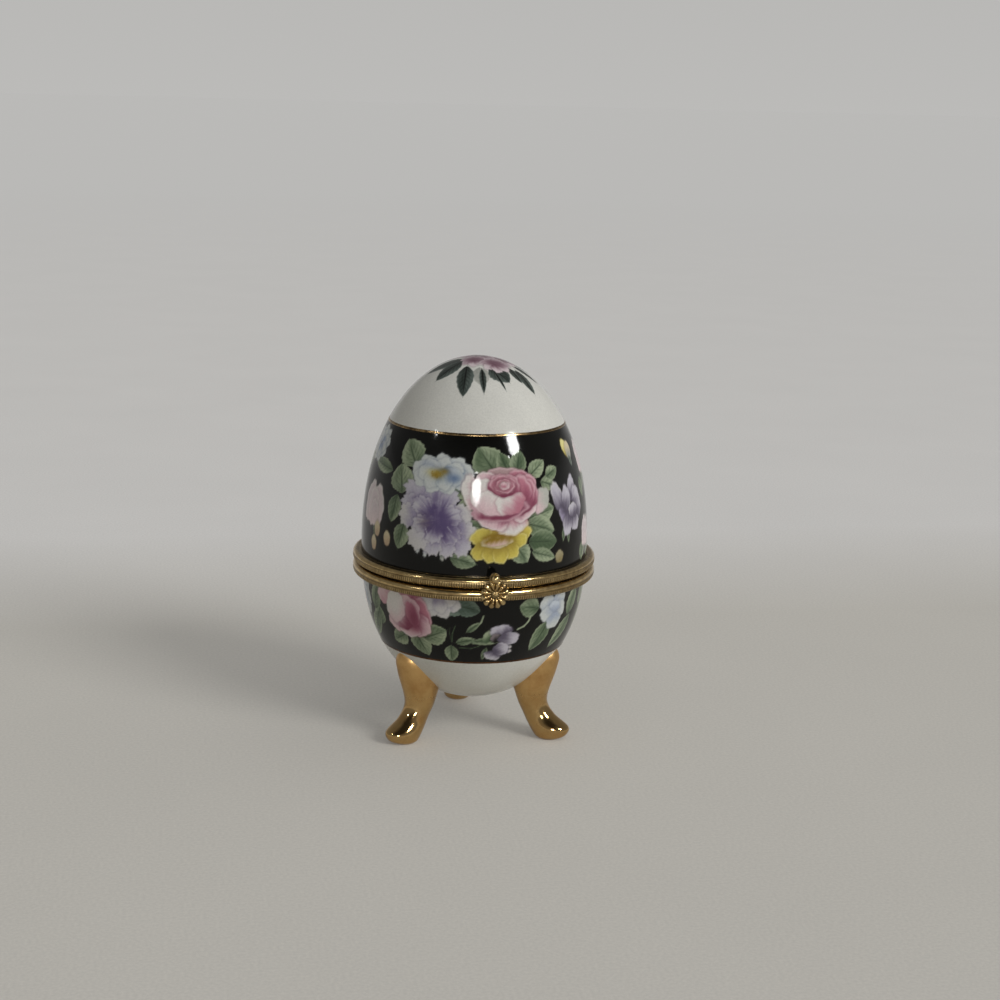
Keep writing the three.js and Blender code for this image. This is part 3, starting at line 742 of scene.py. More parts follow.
def rumpled(patch, reach, squash, tones=(BLUE_DEEP, BLUE, BLUE_WHITE)):
    """Broad pale petals in two rings, the upper ones first."""
    for ring, (count, far, wide, tall, first) in enumerate(ANEMONE_RINGS):
        turns = [first + 360 * k / count for k in range(count)]
        turns.sort(key=lambda turn: -math.sin(math.radians(turn)))
        for k, turn in enumerate(turns):
            x, y = aimed((0, 0), turn, far * reach)
            tone = (tones[0] if k % 4 == 2 else tones[1], tones[2])
            size = (wide * reach, tall * reach)
            lobe(patch, (x, y * squash), size, turn, turn, tone, seed=k + 2.1 * ring)


def anemone(patch, reach, squash):
    """Rumpled petals about a speckled yellow heart."""
    rumpled(patch, reach, squash)
    stains(patch, reach, ANEMONE_STAINS)
    for k in range(15):
        angle = FULL * k / 15 + 0.4 * math.sin(3.1 * k)
        far = 0.26 * reach * (0.75 + 0.25 * math.sin(5.3 * k))
        x = far * math.cos(angle) - 0.14 * reach
        y = far * squash * math.sin(angle) - 0.03 * reach
        patch.lay(ease(0.1 + SOFT, 0.1 - SOFT, np.hypot(patch.x - x, patch.y - y)), colour(OCHRE))


def small_bud(patch, tall, tilt, *tones):
    lobe(patch, (0, 0), (0.32 * tall, 0.5 * tall), tilt - 90, tilt, tones, wave=0.02)


# Sprays of flowers, with leaves as rows of turn, level, direction, length, width and lightness
LID_LEAVES = [
    (-43.6, 26.4, 124, 7.0, 6.9, 0.25),
    (-60, 24.4, 172, 9.0, 3.4, 0.15),
    (-50, 20.0, 104, 6.8, 7.1, 0.28),
    (-53, 19.4, -100, 6.6, 4.2, -0.05),
    (-46.5, 13.4, -104, 6.4, 4.6, 0.1),
    (1, 26.0, 122, 6.8, 7.6, 0.0),
    (9, 25.4, 112, 5.6, 4.0, -0.2),
    (13, 25.4, 78, 5.8, 4.2, -0.15),
    (20, 25.0, 34, 5.6, 4.0, 0.4),
    (27, 23.6, -20, 4.4, 3.6, 0.35),
    (31, 24.4, 24, 4.2, 3.3, 0.15),
    (18, 15.6, 14, 7.6, 5.7, 0.15),
    (17, 14.6, -18, 8.2, 5.4, 0.1),
    (18, 10.4, -6, 8.2, 5.7, -0.45),
    (20, 7.9, -18, 7.0, 3.2, 0.3),
    (11, 9.8, -54, 5.2, 5.0, 0.15),
    (-5, 14.4, 196, 6.4, 4.0, -0.1),
    (-4, 12.0, 170, 5.6, 3.4, 0.0),
    (-21, 7.0, -14, 6.2, 3.8, 0.1),
    (-11, 22.4, 196, 5.2, 3.4, 0.0),
    (-9, 19.6, 200, 4.6, 3.2, 0.0),
    (-12, 16.2, 60, 4.4, 3.0, 0.0),
]
EDGE_LEAVES = [
    (64, 22.4, -84, 5.0, 2.6, 0.0),
    (61, 7.6, -100, 4.8, 3.4, 0.0),
    (67, 6.8, -60, 4.8, 3.0, 0.0),
    (74, 23.4, -122, 4.6, 2.4, 0.0),
    (78, 23.4, -64, 4.4, 2.4, 0.0),
]
BASE_LEAVES = [
    (-68, -13.0, 84, 5.2, 4.8, 0.0),
    (-47, -13.2, 214, 5.4, 4.6, 0.1),
    (-41, -11.6, -70, 7.4, 5.5, 0.15),
    (-36, -13.6, 26, 6.6, 5.7, 0.15),
    (-20.5, -14.6, -92, 4.8, 3.3, 0.1),
    (-18, -13.9, 16, 4.6, 2.2, 0.0),
    (8, -12.8, 186, 8.2, 2.2, 0.0),
    (26, -5.8, 170, 5.4, 5.1, 0.0),
    (34, -9.6, -116, 8.4, 4.8, -0.2),
    (53, -9.8, -124, 9.4, 4.2, 0.0),
    (50, -9.6, 74, 7.6, 4.4, 0.0),
]
CROWN_LEAVES = [
    # turn and distance from the apex of the root and of the tip, width
    (-46, 4.6, -89, 13.2, 4.2),
    (-48, 6.0, -58, 14.0, 4.4),
    (-30, 7.6, -22, 17.6, 4.2),
    (-4, 8.6, -3.8, 16.5, 1.7),
    (10, 8.0, 26, 13.6, 5.8),
    (14, 10.0, 17.7, 15.9, 0.8),
    (46, 9.0, 42, 14.2, 2.6),
    (54, 10.0, 48.5, 17.8, 3.2),
    (64, 8.0, 72.6, 15.8, 2.4),
    (84, 6.4, 92, 14.6, 4.2),
    (118, 6.2, 110, 13.6, 2.6),
    (150, 7.0, 153, 15.6, 4.8),
    (176, 7.0, 176, 14.0, 2.8),
    (-120, 6.0, -112, 13.8, 4.4),
    (-144, 6.4, -146, 14.2, 2.8),
    (-166, 6.4, -160, 13.8, 4.0),
]
CROWN_FLOWERS = [
    # turn, distance from the apex, size
    (-140, 4.6, 3.8),
    (170, 4.6, 4.0),
    (122, 5.0, 3.8),
    (78, 5.6, 3.8),
    (0, 0.4, 3.8),
    (-22, 4.2, 3.4),
    (28, 6.6, 3.8),
]
CROWN_PETALS = 7


def lid_flowers(spray):
    """Aster, anemone, primrose and rose."""
    aster(spray.at(-30, 15.2, 13))
    anemone(spray.at(-28.2, 25.4, 12), 7.4, 0.4)
    lobes(spray.at(4.2, 10.2, 12), 0.84, PRIMROSE_LOBES)
    lobes(spray.at(5.6, 20.2, 15), 0.89, ROSE_LOBES)


def lid_sprigs(spray):
    """An iris and yellow buds to the right of a spray."""
    leaves(spray, [(41, 12.6, -96, 3.6, 1.1, 0), (44, 12.2, -84, 3.8, 1.1, 0)])
    lobes(spray.at(46, 17.2, 12), 0.94, IRIS_LOBES)
    small_bud(spray.at(54, 29.6, 5), 4.6, 108, YELLOW_DEEP, YELLOW_PALE)
    small_bud(spray.at(57, 29.0, 5), 4.4, 78, MIST_DARK, CREAM)
    leaves(spray, [(56, 27.8, -80, 2.6, 1.3, 0)], tones=BUD_GREEN)
    lobe(spray.at(37.4, 5.8, 4), (0, 0), (1.35, 1.5), 0, 100, (STRAW, STRAW_PALE))


def lid_buds(spray):
    """A tulip with beige buds below it and a pale flower above."""
    leaves(spray, [(-70, 12.4, -80, 4.6, 1.2, 0)])
    lobes(spray.at(-73, 15.8, 8), 1.1, TULIP_LOBES)
    for turn, level in ((-66.4, 10.4), (-69.2, 6.9), (-57.8, 8.9)):
        small_bud(spray.at(turn, level, 4), 3.6, 94, BEIGE, CREAM)
    rumpled(spray.at(-83, 29.2, 7), 4.8, 0.9)


def lid_edge(spray):
    """Two pale buds, one over the other, with leaves between."""
    leaves(spray, EDGE_LEAVES)
    lobes(spray.at(76, 26.4, 9), 0.9, TULIP_LOBES)
    lobes(spray.at(67, 9.4, 9), 0.8, TULIP_LOBES)


def base_greens(spray):
    stems = spray.at(-20, -13, 12)
    stem(stems, [(0, -0.8), (0.2, 1.6), (0.9, 3.6)], 0.22, LEAF_DARK)
    stem(stems, [(0, -0.8), (-0.5, 1.4), (-0.4, 3.0)], 0.2, LEAF_VEIN)
    stem(stems, [(1.6, -2.2), (4.2, -2.4), (6.4, -1.6)], 0.2, LEAF_DARK)
    leaves(spray, BASE_LEAVES, 1.3)
    leaves(spray, [(-13, -4.0, 198, 6.0, 4.6, 0), (-18, -4.2, -14, 6.0, 4.6, 0)], tones=GREY_GREEN)
    sprig = spray.at(-8, -10, 8)
    stem(sprig, [(-1.6, -0.8), (0.2, 0.2), (1.4, 1.6), (1.9, 3.2)], 0.35, LEAF_PALE)
    leaf(sprig, (-1.9, -1.1), 42, 4.0, 1.5)
    stem(spray.at(16.5, -10.4, 8), [(-0.8, -0.2), (0.8, 0.5), (1.8, 1.6), (2.3, 2.8)], 0.42, LEAF_PALE)
    leaf(spray.at(7.0, -13.4, 9), (-3.6, -1.7), -98, 3.6, 1.4)


def base_flowers(spray):
    """A rumpled flower, a rosebud, a pansy and a bellflower, loosely set on the bowl."""
    rumpled(spray.at(-27.5, -2.4, 9), 6.2, 0.85, (LILAC, LILAC_PALE, LILAC_WHITE))
    bud = spray.at(-45.5, -7.8, 13)
    lobes(bud, 0.98, ROSEBUD_LOBES)
    stains(bud, 1, ROSEBUD_STAINS)
    lobes(spray.at(7.0, -13.4, 9), 1, PANSY_LOBES)
    lobes(spray.at(35.6, -7.0, 9), 1, BELLFLOWER_LOBES)


def crown_spray(canvas):
    """Pink flowers on the apex with dark leaves spreading down from them."""
    patch = canvas.crown(24)
    leaf(patch, aimed((0, 0), -98, 8), -90, 6.4, 4.4, MIST_GREEN)
    for k, (turn, near, tip_turn, far, width) in enumerate(CROWN_LEAVES):
        root, tip = aimed((0, 0), turn - 90, near), aimed((0, 0), tip_turn - 90, far)
        degrees = math.degrees(math.atan2(tip[1] - root[1], tip[0] - root[0]))
        leaf(patch, root, degrees, math.dist(root, tip), width, NIGHT_GREEN, k)
    for k, (turn, far, size) in enumerate(CROWN_FLOWERS):
        x, y = aimed((0, 0), turn - 90, far)
        for n in range(CROWN_PETALS):
            aim = 20 * k + 360 * n / CROWN_PETALS
            pale = PINK_PALE if math.sin(math.radians(aim)) < -0.4 else PINK
            spot = aimed((x, y), aim, 0.5 * size)
            lobe(patch, spot, (0.5 * size, 0.36 * size), aim, aim, (PLUM, pale, PINK_PALE), n + k)
        stains(patch, 1, [(x, y + 0.25 * size, 0.55 * size, 0.26 * size, PLUM, 0.8)])


def painted_lid():
    canvas = Canvas(RIM_LEVEL, APEX, LID_ROWS, LID_LINE)
    front = Spray(canvas, 0)
    sprays = (front, Spray(canvas, 125, -1), Spray(canvas, -128))
    for spray in sprays:
        leaves(spray, LID_LEAVES, 2.1)
    for spray in sprays:
        lid_flowers(spray)
    lid_sprigs(front)
    lid_buds(front)
    lid_edge(front)
    lid_buds(Spray(canvas, 252))
    crown_spray(canvas)
    return canvas


def painted_base():
    canvas = Canvas(-RIM_LEVEL, UNDERSIDE, BASE_ROWS, BASE_LINE)
    sprays = (Spray(canvas, 0), Spray(canvas, 118, -1), Spray(canvas, -121))
    for spray in sprays:
        base_greens(spray)
    for spray in sprays:
        base_flowers(spray)
    return canvas


# Materials
NOISE_SPREAD = (0.3, 0.7)  # nearly all of a noise lies between these


class Look:
    """The nodes of a material or of the world. Their inputs take sockets or plain values."""

    def __init__(self, owner, shader="Principled BSDF"):
        owner.use_nodes = True
        self.owner = owner
        self.tree = owner.node_tree
        self.shader = self.tree.nodes[shader]

    def feed(self, node, inputs):
        for name, value in inputs.items():
            if isinstance(value, bpy.types.NodeSocket):
                self.tree.links.new(value, node.inputs[name])
            else:
                node.inputs[name].default_value = value

    def node(self, kind, inputs, **settings):
        made = self.tree.nodes.new("ShaderNode" + kind)
        for name, value in settings.items():
            setattr(made, name, value)
        self.feed(made, inputs)
        return made

    def place(self):
        return self.node("TexCoord", {}).outputs["Object"]

    def axis(self, way, name):
        return self.node("SeparateXYZ", {"Vector": way}).outputs[name]

    def mark(self, name, output):
        """What a mesh stores for its points."""
        return self.node("Attribute", {}, attribute_name=name).outputs[output]

    def noise(self, scale, detail=4.0, roughness=0.55):
        inputs = {"Vector": self.place(), "Scale": scale, "Detail": detail, "Roughness": roughness}
        return self.node("TexNoise", inputs).outputs["Fac"]

    def ranged(self, value, low, high, to_low=0, to_high=1):
        inputs = {"Value": value, "From Min": low, "From Max": high, "To Min": to_low, "To Max": to_high}
        return self.node("MapRange", inputs).outputs["Result"]

    def speckle(self, scale, detail, low, high):
        return self.ranged(self.noise(scale, detail), *NOISE_SPREAD, low, high)

    def mixed(self, share, low, high, mode="MIX"):
        made = self.node("Mix", {}, data_type="RGBA", blend_type=mode)
        self.feed(made, {0: share, 6: low, 7: high})
        return made.outputs[2]

    def times(self, one, other):
        return self.mixed(1.0, one, other, "MULTIPLY")

    def maths(self, operation, *values):
        return self.node("Math", dict(enumerate(values)), operation=operation).outputs["Value"]

    def bump(self, height, distance):
        return self.node("Bump", {"Height": height, "Distance": distance}).outputs["Normal"]

    def finish(self, inputs):
        self.feed(self.shader, inputs)
        return self.owner


def tint(values):
    return (*linear(colour(values)), 1.0)


def porcelain_material():
    """Glazed porcelain that shows the painted colours, with faint specks and a wavy glaze."""
    look = Look(bpy.data.materials.new("porcelain"))
    specks = look.times(look.mark("paint", "Color"), look.speckle(2600, 2, 0.93, 1.05))
    return look.finish({
        "Base Color": look.times(specks, look.speckle(90, 3, 0.965, 1.02)),
        "Roughness": look.speckle(420, 3, 0.05, 0.11),
        "Specular IOR Level": 0.22,
        "Normal": look.bump(look.noise(320, 2), 0.00003),
    })


def gilding_material():
    """Gold lustre: satin and orange where it is thin, a dark mirror on the feet."""
    look = Look(bpy.data.materials.new("gilding"))
    foot = look.ranged(look.axis(look.place(), "Z"), *GILT_CHANGE)
    thin = look.ranged(look.noise(260, 6, 0.65), 0.42, 0.72, 0, 0.65)
    gold = look.mixed(foot, tint(GOLD_FOOT), tint(GOLD_SATIN))
    mirror = look.speckle(300, 3, 0.07, 0.13)
    satin = look.speckle(900, 4, 0.34, 0.5)
    return look.finish({
        "Base Color": look.mixed(thin, gold, tint(GOLD_THIN)),
        "Metallic": 1.0,
        "Roughness": look.node("Mix", {0: foot, 2: mirror, 3: satin}).outputs[0],
        "Normal": look.bump(look.noise(420, 4), 0.00006),
    })


def brass_material():
    """Antique brass: bright on the ridges, brown in the recesses that the meshes mark; that brown is
    patina and painted shade together.
    """
    look = Look(bpy.data.materials.new("brass"))
    recess = look.mark("recess", "Fac")
    dull = look.ranged(look.noise(700, 6, 0.7), 0.35, 0.7)
    bright = look.mixed(dull, tint(BRASS_BRIGHT), tint(BRASS_DULL))
    return look.finish({
        "Base Color": look.mixed(recess, bright, tint(BRASS_RECESS)),
        "Metallic": 1.0,
        "Roughness": look.maths("MULTIPLY_ADD", recess, 0.3, look.speckle(1500, 5, 0.12, 0.25)),
        "Normal": look.bump(look.noise(1800, 4), 0.00002),
    })


def line_material(name, tone, dark):
    """A painted gold line, browner where the gold is thin."""
    look = Look(bpy.data.materials.new(name))
    thin = look.ranged(look.noise(500, 5, 0.65), 0.4, 0.68)
    return look.finish({
        "Base Color": look.mixed(thin, tint(tone), tint(dark)),
        "Metallic": 1.0,
        "Roughness": look.speckle(900, 3, 0.16, 0.32),
    })


def cement_material():
    look = Look(bpy.data.materials.new("cement"))
    cloud = look.noise(1500, 6, 0.7)
    return look.finish({
        "Base Color": look.mixed(cloud, tint(CEMENT_DARK), tint(CEMENT_PALE)),
        "Roughness": 0.9,
        "Normal": look.bump(cloud, 0.0001),
    })


def floor_material():
    """A pale table top with a fine grain, painted a little lighter behind the egg as painted light, like
    a backdrop that faces the lamps.

    Where it is seen, part of its brightness is its own, so shadows stay pale and the far end meets
    the backdrop. The light it throws back comes from its plain colour.
    """
    look = Look(bpy.data.materials.new("floor"))
    behind = look.ranged(look.axis(look.place(), "Y"), *FLOOR_LIGHTENS)
    far = look.node("VectorMath", {0: look.place()}, operation="LENGTH").outputs["Value"]
    away = look.ranged(far, *FLOOR_FADES)
    path = look.node("LightPath", {}).outputs
    seen = look.maths("MAXIMUM", path["Is Camera Ray"], path["Is Glossy Ray"])
    plain = look.mixed(behind, tint(FLOOR_NEAR), tint(FLOOR_BEHIND))
    shown = look.mixed(behind, tint(SEEN_FLOOR_NEAR), tint(SEEN_FLOOR_BEHIND))
    ground = look.mixed(seen, plain, look.mixed(away, shown, (0, 0, 0, 1)))
    grain = look.times(look.speckle(1400, 2, 0.93, 1.06), look.speckle(16, 3, 0.985, 1.015))
    glow = look.ranged(away, 0, 1, FLOOR_GLOW, 0.95 * BACKDROP)
    return look.finish({
        "Base Color": look.times(ground, grain),
        "Emission Strength": look.maths("MULTIPLY", seen, glow),
        "Emission Color": PALE,
        "Roughness": 0.85,
        "Specular IOR Level": 0.2,
    })


PORCELAIN = porcelain_material()
GILDING = gilding_material()
BRASS = brass_material()
CEMENT = cement_material()
GOLD_LINE = line_material("gold_line", LINE_GOLD, LINE_GOLD_THIN)
BROWN_LINE = line_material("brown_line", LINE_BROWN, LINE_BROWN_THIN)


# Porcelain
def shell(name, canvas, node, body):
    """A painted shell: the canvas outside, plain glaze inside, joined at the rim."""
    radius, level = canvas.radius, canvas.level
    far_radius, far_level = moved_out(radius, level, 1)
    lift = canvas.raised * (ENAMEL * ease(*ENAMEL_END, canvas.arc[-1] - canvas.arc))[:, None]
    outer = []
    for k in range(len(radius) - 1):
        lifted = radius[k] + lift[k] * (far_radius[k] - radius[k])
        outer.append(ring_of(lifted, level[k] + lift[k] * (far_level[k] - level[k]), COLUMNS))
    outer.append(point(0, 0, level[-1]))
    inside_radius, inside_level = moved_out(*egg_line(level[0], level[-1], INSIDE_ROWS)[:2], -WALL)
    inside_level[0] = level[0]
    inner = [point(0, 0, level[-1] - canvas.up * WALL)]
    for k in reversed(range(INSIDE_ROWS - 1)):
        inner.append(ring_of(inside_radius[k], inside_level[k], COLUMNS))
    places, faces = skin(outer + inner, wrap=True)
    if canvas.up < 0:
        faces = [face[::-1] for face in faces]
    made = piece(name, places, faces, PORCELAIN, body, node, "porcelain", crease=50)
    shown = np.ones((len(places), 4))
    shown[:, :3] = linear(colour(WHITE))
    paint = np.vstack([canvas.colour[:-1].reshape(-1, 3), canvas.colour[-1].mean(0)])
    shown[: len(paint), :3] = linear(paint)
    layer = made.data.color_attributes.new("paint", "FLOAT_COLOR", "POINT")
    layer.data.foreach_set("color", shown.astype(np.float32).ravel())
    turn = np.arange(COLUMNS) / COLUMNS
    poles = [np.nan, np.nan]
    across = np.concatenate([np.tile(turn, len(outer) - 1), poles, np.tile(turn, len(inner) - 1)])
    up_outside = np.repeat(np.linspace(OUTSIDE_MAP, 1, len(outer))[:-1], COLUMNS)
    up_inside = np.repeat(np.linspace(0, INSIDE_MAP, len(inner))[1:], COLUMNS)
    unroll(made.data, across, np.concatenate([up_outside, [1, 0], up_inside]))


def unroll(mesh, across, upward):
    """A flat map for baking: once round the shell across, from inner pole to outer pole upward."""
    corner = np.empty(len(mesh.loops), int)
    mesh.loops.foreach_get("vertex_index", corner)
    starts = np.empty(len(mesh.polygons), int)
    mesh.polygons.foreach_get("loop_start", starts)
    sizes = np.diff(np.append(starts, len(corner)))
    u, v = across[corner], upward[corner]
    wide = np.repeat(np.fmax.reduceat(u, starts) - np.fmin.reduceat(u, starts) > 0.5, sizes)
    u[wide & (u < 0.5)] += 1
    middle = np.repeat((np.fmax.reduceat(u, starts) + np.fmin.reduceat(u, starts)) / 2, sizes)
    u = np.where(np.isnan(u), middle, u)
    layer = mesh.uv_layers.new(name="OFBake")
    layer.data.foreach_set("uv", np.stack([u, v], 1).astype(np.float32).ravel())


def painted_line(name, level, width, material, body):
    """A thin raised line of gold round the egg."""
    radius, height, _ = egg_line(level - width / 2, level + width / 2, LINE_POINTS)
    swell = LINE_RISE * (1 - np.linspace(-1, 1, LINE_POINTS) ** 4)
    outer = np.stack(moved_out(radius, height, swell), 1)
    inner = np.stack(moved_out(radius, height, -LINE_SINK), 1)[::-1]
    piece(name, *lathe([*outer, *inner], LINE_COLUMNS, wrap=True), material, body, slot="gilding")


# Bezels
def brass_piece(name, shape, body, node, recess=0.2, crease=35):
    """A piece of brass, with how dark each point is for the material to read; in hollows that darkness
    is patina and painted shade together.
    """
    made = piece(name, *shape, BRASS, body, node, "brass", crease)
    layer = made.data.attributes.new("recess", "FLOAT", "POINT")
    layer.data.foreach_set("value", np.full(len(shape[0]), recess, np.float32))


def reeded_ring(name, low, high, rest, reeded, grooves, reed_patina_and_shade, node, body):
    """A ring whose bead is milled between two bead angles and has fine grooves at others."""
    tick = np.tile(REED_FORM, REEDS)
    columns = len(tick)
    angle = np.linspace(-90, 90, BEAD_POINTS)
    across = np.abs(np.cos(np.radians(angle))) ** (2 / BEAD_FULLNESS)
    along = np.sign(angle) * np.abs(np.sin(np.radians(angle))) ** (2 / BEAD_FULLNESS)
    radius = BEAD_ROOT + (RING_RADIUS - BEAD_ROOT) * across
    level = (low + high) / 2 + (high - low) / 2 * along
    zone = ease(reeded[0] - 6, reeded[0] + 3, angle) * ease(reeded[1] + 6, reeded[1] - 3, angle)
    cut = sum(np.exp(-(((angle - at) / GROOVE_SPREAD) ** 2)) for at in grooves)
    edge = ease(55, 88, np.abs(angle))
    rings, recess = [], []
    for k in range(BEAD_POINTS):
        milled = radius[k] - GROOVE_DEPTH * cut[k] - REED_DEPTH * zone[k] * tick
        rings.append(ring_of(milled, level[k], columns))
        # darker in the reed valleys, the grooves and the bead's tucked-in top and bottom: patina, and
        # painted shade as well
        recess.append(np.clip(zone[k] * (reed_patina_and_shade * tick + 0.15) + 0.8 * cut[k] + 0.5 * edge[k], 0, 1))
    for r, z in soften(rest, RING_EDGE):
        rings.append(ring_of(r, z, columns))
        recess.append(np.full(columns, 0.35))
    brass_piece(name, skin(rings, wrap=True), body, node, np.concatenate(recess), 60)


def inset_radius(level):
    """The inside of the porcelain at a level near the rim."""
    radius, height, _ = egg_line(level - 1.5, level + 1.5, 61)
    radius, height = moved_out(radius, height, -WALL)
    return float(np.interp(level, height, radius))


def add_bezels():
    floor = RING_NEAR + BEZEL_WEB
    collar = inset_radius(RIM_LEVEL) - COLLAR_GAP
    inner = collar - COLLAR_WALL
    lid_rest = [
        (SEAT_RADIUS, LID_RING_TOP),
        (SEAT_RADIUS, floor),
        (collar, floor),
        (collar, COLLAR_END),
        (inner, COLLAR_END),
        (inner, RING_NEAR),
    ]
    reeded_ring(
        "lid_ring", RING_NEAR, LID_RING_TOP, lid_rest,
        reeded=(-46, 2), grooves=(9, -56), reed_patina_and_shade=0.75, node="lid_bezel", body="lid",
    )
    base_collar = inset_radius(-COLLAR_END) - COLLAR_GAP
    lip = inner - COLLAR_GAP
    base_rest = [
        (lip, -RING_NEAR),
        (lip, LIP_RISE),
        (lip - LIP_WALL, LIP_RISE),
        (lip - LIP_WALL, -COLLAR_END),
        (base_collar, -COLLAR_END),
        (base_collar, -floor),
        (SEAT_RADIUS, -floor),
        (SEAT_RADIUS, -BASE_RING_END),
    ]
    reeded_ring(
        "base_ring", -BASE_RING_END, -RING_NEAR, base_rest,
        reeded=(-56, -8), grooves=(0, -66), reed_patina_and_shade=0.85, node="base_bezel", body="base",
    )


# Small brass fittings
def along_x(profile, wrap=False):
    """Turns [radius, x] points about the hinge axis."""
    places, faces = lathe(profile, wrap=wrap)
    return places[:, [2, 0, 1]] + np.array([0, HINGE_Y, 0]), faces


def frontward(profile, level):
    """Turns [radius, distance] points about a line that points to the front at a level."""
    places, faces = lathe(profile)
    return np.stack([places[:, 0], -places[:, 2], places[:, 1] + level], 1), faces


def joined(*parts):
    places, faces = [], []
    for more_places, more_faces in parts:
        start = sum(len(p) for p in places)
        places.append(more_places)
        faces += [[corner + start for corner in face] for face in more_faces]
    return np.concatenate(places), faces


def capped(rings):
    """The surface through rings of points, closed at both ends."""
    return skin([rings[0].mean(0)[None], *rings, rings[-1].mean(0)[None]])


def block(low, high):
    """A box with bevelled edges between two corners."""
    b = BEVEL
    rings = []
    for x, inset in ((low[0], b), (low[0] + b, 0), (high[0] - b, 0), (high[0], b)):
        y0, y1, z0, z1 = low[1] + inset, high[1] - inset, low[2] + inset, high[2] - inset
        corners = [
            (y0 + b, z0), (y1 - b, z0), (y1, z0 + b), (y1, z1 - b),
            (y1 - b, z1), (y0 + b, z1), (y0, z1 - b), (y0, z0 + b),
        ]
        rings.append(np.array([(x, y, z) for y, z in corners]))
    return capped(rings)


def knuckle(start, end):
    """One rolled barrel of the hinge, with a bore and chamfered ends."""
    inner = BARREL_RADIUS - BARREL_CHAMFER
    first, last = start + BARREL_CHAMFER, end - BARREL_CHAMFER
    half = [(BORE_RADIUS, start), (inner, start), (BARREL_RADIUS, first)]
    return along_x([*half, (BARREL_RADIUS, last), (inner, end), (BORE_RADIUS, end)], wrap=True)


def leaf_block(start, end, side, near):
    """Part of a hinge leaf between two places along the pin."""
    low, high = sorted((side * near, side * LEAF_SPREAD))
    return block((start, LEAF_BACK, low), (end, LEAF_BACK + LEAF_THICKNESS, high))


def stop_heel():
    """The lid knuckle's heel, aimed to meet the base leaf when the lid is fully open."""
    reach = BARREL_RADIUS + HEEL_REACH
    half = HEEL_THICKNESS / 2
    gap = HINGE_Y - LEAF_BACK - LEAF_THICKNESS - HEEL_GAP
    past = math.asin(gap / math.hypot(reach, half)) - math.atan2(half, reach)
    aim = math.radians(OPEN_ANGLE) - math.pi / 2 - past
    places, faces = block((-LID_KNUCKLE / 2, HEEL_ROOT, -half), (LID_KNUCKLE / 2, reach, half))
    turned = np.array(Matrix.Rotation(aim, 3, "X"))
    return places @ turned.T + np.array([0, HINGE_Y, 0]), faces


def add_hinge():
    half = LID_KNUCKLE / 2
    near = half + KNUCKLE_GAP
    behind = HINGE_Y - LEAF_BACK - LEAF_THICKNESS
    clear = math.sqrt((BARREL_RADIUS + KNUCKLE_GAP) ** 2 - behind**2)
    base = joined(
        knuckle(-LEAF_HALF, -near),
        knuckle(near, LEAF_HALF),
        leaf_block(-LEAF_HALF, -near, -1, LEAF_START),
        leaf_block(near, LEAF_HALF, -1, LEAF_START),
        leaf_block(-near - LEAF_OVERLAP, near + LEAF_OVERLAP, -1, clear),
    )
    brass_piece("hinge_base_leaf", base, "base", "hinge_leaf_base")
    lid = joined(
        knuckle(-half, half),
        leaf_block(-half, half, 1, LEAF_START),
        leaf_block(-LEAF_HALF, -half + LEAF_OVERLAP, 1, clear),
        leaf_block(half - LEAF_OVERLAP, LEAF_HALF, 1, clear),
        stop_heel(),
    )
    brass_piece("hinge_lid_leaf", lid, "lid", "hinge_leaf_lid")
    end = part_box("hinge_pin")[1].x / MM
    left = [(radius, depth - end) for radius, depth in PIN_HEAD]
    right = [(radius, end - depth) for radius, depth in reversed(PIN_HEAD)]
    brass_piece("hinge_rod", along_x(left + right), "base", "hinge_pin")


def clasp_flower():
    """A rosette of ribbed petals about a beaded boss."""
    columns = 14 * PETALS
    turn = np.arange(columns) * FULL / columns
    wave = np.abs(np.cos(PETALS / 2 * (turn + math.pi / 2 + math.pi / PETALS)))
    outline = FLOWER_RADIUS * (1 - 0.15 * (1 - wave**0.7))

    def ring(share, depth):
        radius = outline * share if share > 0.5 else FLOWER_RADIUS * 0.95 * share
        distance = FLOWER_SEAT + depth + 0 * turn
        return np.stack([radius * np.cos(turn), -distance, FLOWER_LEVEL + radius * np.sin(turn)], 1)

    rings = [point(0, -FLOWER_SEAT, FLOWER_LEVEL), ring(0.96, 0), ring(1.0, 0.12)]
    # darker between petals, at the petals' ends, round the foot of the boss and between its beads:
    # patina, and painted shade as well
    recess = [[0.6], np.full(columns, 0.6), 0.5 - 0.4 * wave]
    for share in np.linspace(0.97, PETAL_ROOT, 12):
        crown = math.sin(math.pi * (0.12 + 0.8 * (share - PETAL_ROOT) / (1 - PETAL_ROOT))) ** 0.7
        rings.append(ring(share, 0.2 + 0.7 * crown * (0.35 + 0.65 * wave**1.3)))
        recess.append(np.clip(0.95 - 1.25 * wave, 0, 1) + 0.25 * (1 - crown))
    beads = np.cos(9 * turn)
    for share in np.linspace(BOSS_EDGE, 0.02, 8):
        dome = math.sqrt(max(0, 1 - (share / 0.31) ** 2))
        pimple = 0.05 * beads * math.sin(math.pi * share / BOSS_EDGE)
        rings.append(ring(share, 0.3 + (FLOWER_DEPTH - 0.36) * dome + pimple))
        recess.append(0.75 - 0.5 * dome + 0.3 * (beads < 0) * (share > 0.12))
    rings.append(point(0, -(FLOWER_SEAT + FLOWER_DEPTH - 0.06), FLOWER_LEVEL))
    recess = np.clip(np.concatenate([*recess, [0.2]]), 0, 1)
    brass_piece("clasp_rosette", skin(rings), "clasp", "clasp_flower", recess, 70)


